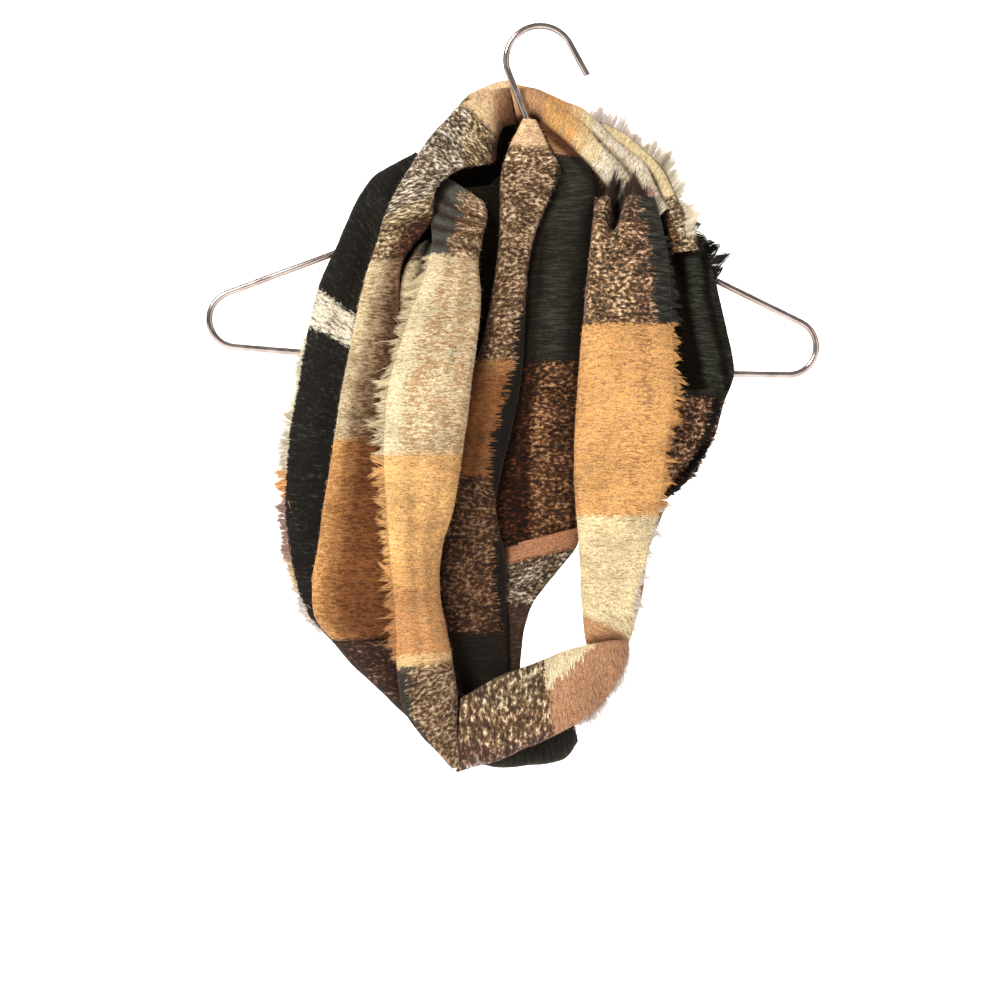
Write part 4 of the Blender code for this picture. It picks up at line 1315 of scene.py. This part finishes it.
# %% Outer bottom
lay_sheet(
    "outer_bottom",
    """
    -140.6 -29 -417.1 -72.6 -28 -416 13 35 15
    -127.2 -28 -433.2 -67.9 -26 -431.3 12 40 20
    -111.1 -27 -447.4 -61.2 -25 -443.5 12 40 20
    -92.2 -26 -465 -53.1 -24 -453 12 40 20
    -71.3 -25 -484 -42.3 -23 -458.5 12 50 20
    -50.4 -24 -497.6 -31.5 -22 -462.6 12 60 20
    -27.4 -24 -502.3 -18.6 -21 -463.4 12 60 20
    -3.7 -24 -501 -5.7 -20 -461.4 12 60 20
    17.2 -24 -496.9 8.5 -19 -457.4 11 60 20
    25.4 -22 -485.6 20.7 -18 -453.4 9 50 20
    """,
    weft=((0, "cocoa"), (72, "moss")),
    warp=((0, "umber"), (16, "mauve"), (52, "umber")),
    creases=((0.10, 0.95, 0.50, 0.60, 0.14, 3.0),),
    # tone far below 1: painted shade on the deep roll under the inner turn
    share=0.34, tone=0.25,
    flat=(0.069, 0.160), rests_on=("outer_left_panel", "front_band"), slot="dark_cloth",
)

# %% [markdown]
# ## Outer edges, left
# Behind the outer turn a dark stretch fans out to the left. A patch of cream band shows where its
# weft comes round, and its own raw edge runs down the outline.

# %% Side left panel
lay_sheet(
    "side_left_panel",
    """
    -85 6 -83.2 -64.4 4 -106.7 8 60 10
    -104.1 2 -93.9 -78.7 -1 -120.9 9 60 10
    -114.9 -2 -102.6 -86.6 -9 -142.1 9 50 0
    -125 -5 -118.6 -92.7 -12 -160.1 8 40 0
    -132.3 -8 -135.2 -96.7 -13 -176.5 7 20 0
    -137.7 -9 -148.9 -99.4 -13 -189.4 7 10 0
    -147.2 -9 -170.1 -102.2 -13 -206.4 8 10 0
    -153.4 -9 -186.4 -103.5 -13 -220 9 10 0
    -160.2 -9 -216.4 -102.2 -13 -240.4 9 -20 0
    -164.3 -9 -243.6 -100.1 -13 -260.7 9 -20 0
    -169.7 -9 -270.8 -98.1 -13 -281.1 9 -20 0
    -173.1 -9 -301.5 -96.7 -13 -306.9 9 -20 0
    -173.8 -9 -328.7 -95.4 -13 -332.8 9 -20 0
    -170.4 -9 -355.9 -94 -13 -361.3 9 -20 0
    -165.6 -9 -379.8 -91.3 -13 -387.1 9 -20 0
    -157.4 -10 -400.2 -87.2 -13 -408.9 8 -20 0
    -140.9 -12 -419.1 -79 -13 -427.2 6 -20 0
    """,
    weft=((0, "dark"), (119, "white"), (140, "dark")),
    warp=((0, "dark"),),
    creases=((0.15, 0.90, 0.45, 0.35, 0.12, 3.0), (0.40, 0.95, 0.70, 0.66, 0.07, 1.6)),
    share=0.40,
    flat=(0.071, 0.351), rests_on=("hanger_frame", "outer_left_panel"), slot="dark_cloth",
    fringes=(
        dict(
            edge="left", start=0.42, end=0.97, reach=8.5, spacing=0.9, strands=20, width=0.34,
            loose=1.0, fall=0.1, seed=25, stands_for="side_left_fringe",
            colours=((0, "white"), (246, "camel"), (264, "mauve"), (308, "pale"), (326, "blush")),
        ),
    ),
)

# %% [markdown]
# ## The rolls over the right arm
# Three rolls run from behind the hook down over the hanger's right arm: camel in front, cream and
# camel in the middle, cream at the back with a speckled end. A pinkish fringe stands up along the
# last one.

# %% Front roll
lay_sheet(
    "top_right_front_roll",
    """
    -16 17 -61.2 -20.8 17 -37 11 10 160
    -1.9 13 -58.9 0.1 13 -40.3 11 10 160
    6.9 7 -71.4 13.8 7 -52.1 13 10 150
    19.8 2 -82.3 28.7 2 -63.8 12 10 140
    33.4 -2 -93 42.3 -2 -80 10 10 120
    43.5 -7 -106.5 55.8 -7 -93.6 10 10 100
    52.2 -11 -119.2 67.8 -11 -110.3 9 10 80
    """,
    weft=((0, "tan"), (24, "camel"), (54, "honey"), (64, "butter"), (76, "white")),
    warp=((0, "honey"), (12, "cream"), (34, "honey")),
    creases=((0.0, 1.0, 0.45, 0.40, 0.08, 2.0),),
    # tone above 1 lightens the painted shade: painted light on the roll's lit top
    share=0.4, ticks=0.35, tone=1.6,
    flat=(0.054, 0.110), rests_on=("hanger_frame",),
)

# %% Middle roll
lay_sheet(
    "top_right_middle_roll",
    """
    -18 32 -46.7 -20.2 32 -30.7 8 10 160
    -3.1 32 -49.5 -3.1 32 -35.6 8 10 160
    10.1 28 -56.3 12.2 29 -42.9 8 10 150
    23.8 22 -64.7 27.9 23 -50.7 8 10 150
    36.1 17 -73.6 40.2 18 -61 8 10 150
    45.5 12 -84.5 49.7 13 -71.3 8 10 140
    57.6 5 -95.6 61.1 6 -82.5 9 10 130
    66.9 -2 -108 73 -2 -95 9 10 110
    72.1 -8 -120.2 79.6 -8 -110.7 8 10 90
    75.8 -14 -133.1 86.7 -14 -123.6 7 10 60
    """,
    weft=((0, "camel"), (44, "honey"), (54, "butter"), (64, "white")),
    warp=((0, "honey"), (10, "cream"), (24, "honey")),
    creases=((0.1, 0.9, 0.40, 0.45, 0.08, 1.2),),
    # tone above 1 lightens the painted shade: painted light on the roll's lit top
    share=0.4, ticks=0.35, tone=1.6,
    flat=(0.041, 0.134), rests_on=("hanger_frame", "top_right_front_roll"),
)

# %% Outer roll
lay_sheet(
    "top_right_outer_roll",
    """
    6 33 -68.8 8.1 38 -58.4 6 20 120
    19.9 34 -70.1 23.5 38 -58.4 7 20 130
    32.3 31 -71.8 37.3 33 -58.4 7 20 130
    44.7 26 -75.2 48.9 27 -62.6 7 20 130
    54.2 21 -80.7 59 21 -69.6 7 20 130
    64.3 15 -89 69.8 15 -79.3 8 20 130
    76.8 5 -103.2 82.3 5 -93.6 9 20 120
    82.6 -3 -119.1 92.8 -3 -113.6 9 20 90
    84.1 -12 -134.9 101.1 -12 -129.5 8 0 50
    86.4 -19 -145.7 105.5 -18 -142.3 6 0 20
    88.5 -19 -155.2 107.5 -18 -152.4 5 0 20
    """,
    weft=((0, "rose"), (36, "butter"), (112, "dark")),
    warp=((0, "camel"), (8, "cream")),
    # painted shade: a dark line along the outline; tone above 1 is painted light on the roll's top
    shade=((0, 1.0), (18, 1.0), (22, 0.1), (28, 0.1)),
    creases=((0.2, 0.9, 0.40, 0.45, 0.08, 1.0),),
    share=0.45, ticks=0.4, tone=1.6,
    flat=(0.036, 0.145), rests_on=("hanger_frame", "top_right_middle_roll"), slot="cream_cloth",
    fringes=(
        dict(
            edge=0.64, start=0.06, end=0.94, reach=13.0, spacing=0.6, strands=22, width=0.15,
            loose=1.7, fall=-0.1, flare=0.3, seed=26, stands_for="top_right_fringe",
            colours=((0, "blush"), (70, "white")),
        ),
    ),
)

# %% [markdown]
# ## Outer edges, right
# A black stretch hangs from the right arm in soft upright folds. It ends in speckle low down, and
# dark tufts stand out from its edge near the top.

# %% Side right panel
lay_sheet(
    "side_right_panel",
    """
    43 -2 -99.1 102.4 -3 -122.5 4 0 30
    40.7 -8 -137.3 108 -11 -145.2 7 0 30
    38 -9 -154.4 112.8 -10 -151.8 11 0 30
    35.2 -10 -173.5 118.9 -10 -168.8 13 0 40
    33.9 -10 -196 124.4 -10 -194 14 0 40
    33.2 -10 -216.4 129.1 -10 -218.5 15 0 40
    32.5 -10 -236.8 130.5 -10 -237.5 15 0 40
    32.5 -10 -257.2 124.4 -10 -255.9 15 0 40
    32.5 -10 -274.3 120.3 -10 -274.3 14 0 40
    33.2 -10 -294.7 110.1 -10 -294.7 13 0 30
    33.9 -10 -308.3 99.9 -10 -309.6 12 0 30
    34.5 -10 -318.5 86.9 -10 -321.9 12 0 30
    """,
    weft=((0, "moss"), (137, "dark")),
    warp=((0, "dark"), (156, "fawn"), (190, "dark"), (201, "mauve")),
    skew=(
        (0.0, 0.0), (0.32, 0.0), (0.47, 10.0), (0.5894, 15.0), (0.5895, -100.0), (0.66, -100.0),
        (0.98, -128.0), (1.0, -128.0),
    ),
    slant=((0.0, 0.0, 0.0), (0.48, 0.0, 0.0), (0.57, 4.0, -10.0), (1.0, 4.0, -10.0)),
    # painted shade: black crevices between the soft folds, with paler ridges between them
    shade=(
        (0, 1.0), (50, 1.0), (60, 0.0), (70, 0.0), (76, 1.0), (83, 1.0), (88, 0.05), (91, 0.05),
        (96, 0.9), (110, 0.62),
    ),
    creases=(
        (-0.10, 0.72, 0.60, 0.66, 0.05, 9.0), (0.05, 0.70, 0.42, 0.50, 0.09, 4.0),
        (0.10, 0.70, 0.80, 0.86, 0.03, 5.0), (0.56, 1.10, 0.97, 0.62, 0.04, 7.0),
    ),
    sheen=0.03,
    flat=(0.109, 0.183), rests_on=("hanger_frame", "centre_right_fold"), slot="dark_cloth",
    fringes=(
        dict(
            edge=0.9, start=0.03, end=0.26, reach=13.0, spacing=7.0, strands=44, width=0.6,
            loose=0.4, fall=-0.8, seed=27, stands_for="side_right_fringe",
        ),
        dict(
            edge=0.93, start=0.30, end=0.98, reach=4.5, spacing=2.2, strands=14, width=0.5,
            loose=0.7, fall=-0.2, seed=28, tag="hem",
        ),
    ),
)

# %% Side right tail
lay_sheet(
    "side_right_tail",
    """
    28.4 -10 -319.4 86.9 -10 -322.9 12 0 30
    33.2 -10 -355.9 74.7 -10 -354.6 11 20 30
    32.5 -10 -390 69.2 -10 -386.6 11 30 30
    32.5 -10 -417.2 63.1 -10 -411.7 10 30 30
    31.1 -10 -439 54.3 -10 -434.2 9 30 30
    23 -10 -456.7 43.3 -11 -455.2 9 30 30
    16.1 -13 -463.2 35.1 -14 -465.9 8 30 30
    """,
    weft=((0, "dark"), (80, "cream")),
    warp=((0, "camel"), (20, "cream"), (40, "camel")),
    creases=((0.1, 0.9, 0.5, 0.5, 0.1, 1.5),),
    flat=(0.053, 0.150), rests_on=("side_right_panel", "front_right_panel"), slot="speckle_cloth",
)

# %% [markdown]
# ## Behind the hanger
# The far side of the ring is out of sight from the front. It is finished plainly, with the same
# bands: one flat layer behind the left side and a collar that goes round the hanger's neck.

# %% Back layer and collar
lay_sheet(
    "back_left_layer",
    """
    -65.6 -6.5 -110.5 -21.9 -6 -106.4 1 0 0
    -77.9 -6.5 -131 -21.9 -6 -122.8 1 0 0
    -96.9 -6.5 -148.7 -21.9 -6 -135 1 0 0
    -118.8 -6.5 -165.1 -21.9 -6 -148 1 0 0
    -131 -7 -192.4 -24.7 -5.4 -188.9 1 0 0
    -140.5 -7 -223.1 -27.4 -5.4 -223 1 0 0
    -146 -7 -250.3 -31.5 -5.4 -250.3 -1 0 0
    -151.5 -6 -281 -39.7 -6 -281 -6 0 0
    -155.6 -6 -315.1 -47.9 -5 -315.1 -9 0 0
    -155.6 -6 -349.2 -52 -5 -349.2 -10 0 0
    -151.5 -6 -383.3 -53.3 -5 -383.3 -9 0 0
    -140.5 -7 -413.9 -53.3 -6 -414 -7 0 0
    -114.6 -9 -436.3 -51.9 -8 -433.6 -5 0 0
    -88.7 -10 -458 -45.1 -9 -448.6 -4 0 0
    """,
    weft=((0, "moss"), (130, "camel"), (270, "dark")),
    warp=((0, "camel"), (20, "cream"), (52, "dark")),
    # painted shade: the top of this layer, deep behind the inner turn, is darkened to black
    fade=((0, 0.0), (118, 0.05), (136, 0.85), (366, 0.85)),
    creases=((0.1, 0.9, 0.3, 0.4, 0.08, 2.0),),
    sheen=0.06,
    flat=(0.097, 0.366), rests_on=("hanger_frame", "side_left_panel"), slot="speckle_cloth",
)

lay_sheet(
    "back_collar",
    """
    -77.4 2 -96.6 -56.1 -1 -120.2 -5 20 20
    -53.5 6 -87.3 -36.3 2 -111.7 -9 40 30
    -37 13 -74.1 -24.7 9 -104.8 -12 50 50
    -27.4 19 -59.5 -19.1 12 -100.3 -14 50 50
    -11.5 22 -49.4 -12.9 13 -97.5 -15 50 50
    6.4 14 -63.6 -1.3 8 -103.5 -14 50 50
    26.2 8 -76.7 13.7 2 -114.4 -10 40 30
    39.8 5 -86.7 25.3 1.2 -120 -7 30 20
    50.7 3 -102.7 36.2 1 -125.5 -5 20 20
    """,
    weft=((0, "moss"), (66, "tan")),
    warp=((0, "tan"), (30, "pale")),
    # painted shade: dark over its first 56 mm, which lie deep behind the other layers
    fade=((0, 0.0), (56, 0.05), (70, 0.9), (126, 0.9)),
    creases=((0.1, 0.9, 0.3, 0.4, 0.08, 2.0),),
    sheen=0.06,
    flat=(0.051, 0.126), rests_on=("hanger_frame", "top_right_front_roll"),
)

# %% [markdown]
# ## How open each place is
# Deep folds get little light and ridges get much, and the plaid paints that shade into the cloth's
# colour. To know which is which, short rays are sent out from a coarse grid of points on every
# sheet. The share of them that meets no cloth says how open the place is, and the plaid reads it
# as painted shade.

# %% Ray fan
REACH = 52.0  # how far a ray looks
RAYS = 26
START_GAP = 0.8  # a ray starts this far off the cloth
ROW_STRIDE = 3
COLUMN_STRIDE = 2


def ray_fan():
    """Directions over a half ball, closer together near its middle."""
    fan = []
    for k in range(RAYS):
        high = math.sqrt(1 - (k + 0.5) / RAYS)
        turn = k * math.pi * (3 - math.sqrt(5))
        flat = math.sqrt(1 - high * high)
        fan.append((flat * math.cos(turn), flat * math.sin(turn), high))
    return np.array(fan)


print("rays:", len(ray_fan()))


# %% Openness
def smoothed(grid):
    wide = np.pad(grid, 1, mode="edge")
    rows, columns = grid.shape
    return sum(wide[r : r + rows, c : c + columns] for r in range(3) for c in range(3)) / 9


def strided(size, stride):
    return np.unique(np.append(np.arange(0, size, stride), size - 1))


def measure_openness():
    corners, faces = [], []
    for sheet in sheets.values():
        faces += quads(*sheet.points.shape[:2], len(corners)).tolist()
        corners += sheet.points.reshape(-1, 3).tolist()
    tree = BVHTree.FromPolygons(corners, faces)
    fan = ray_fan()
    for sheet in sheets.values():
        rows, count = sheet.points.shape[:2]
        some_rows, some_columns = strided(rows, ROW_STRIDE), strided(count, COLUMN_STRIDE)
        coarse = np.ones((len(some_rows), len(some_columns)))
        for i, j in np.ndindex(coarse.shape):
            place = (some_rows[i], some_columns[j])
            normal = sheet.normals[place]
            side = np.cross(normal, (0.31, 0.17, 0.93))
            side /= np.linalg.norm(side)
            rays = fan @ np.array([side, np.cross(normal, side), normal])
            origin = Vector(sheet.points[place] + normal * START_GAP)
            met = sum(tree.ray_cast(origin, Vector(ray), REACH)[0] is not None for ray in rays)
            coarse[i, j] = 1 - met / RAYS
        coarse = smoothed(coarse)
        by_row = np.array([np.interp(np.arange(count), some_columns, line) for line in coarse])
        by_column = [np.interp(np.arange(rows), some_rows, line) for line in by_row.T]
        sheet.open = np.array(by_column).T
        write_open(sheet.cloth.data, sheet.open.reshape(-1))


measure_openness()
mean = np.mean([sheet.open.mean() for sheet in sheets.values()])
print("mean openness", round(float(mean), 2))

# %% [markdown]
# ## Growing the threads
# Now every sheet is there, its fringe and nap can grow.

# %% Threads
for (name, sheet), seed in zip(sheets.items(), NAP_SEEDS):
    pieces = [fringe(name, **edge) for edge in sheet.fringes] + [nap(name, seed)]
    flat, rests_on = sheet.flat, sheet.rests_on
    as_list(rests_on)
print("threads grown on", len(sheets), "sheets")

# %% [markdown]
# ## The last count
# The picture and the part share one frame. The last line counts the sheets that are laid.

# %% Finish
print("sheets laid:", len(sheets))
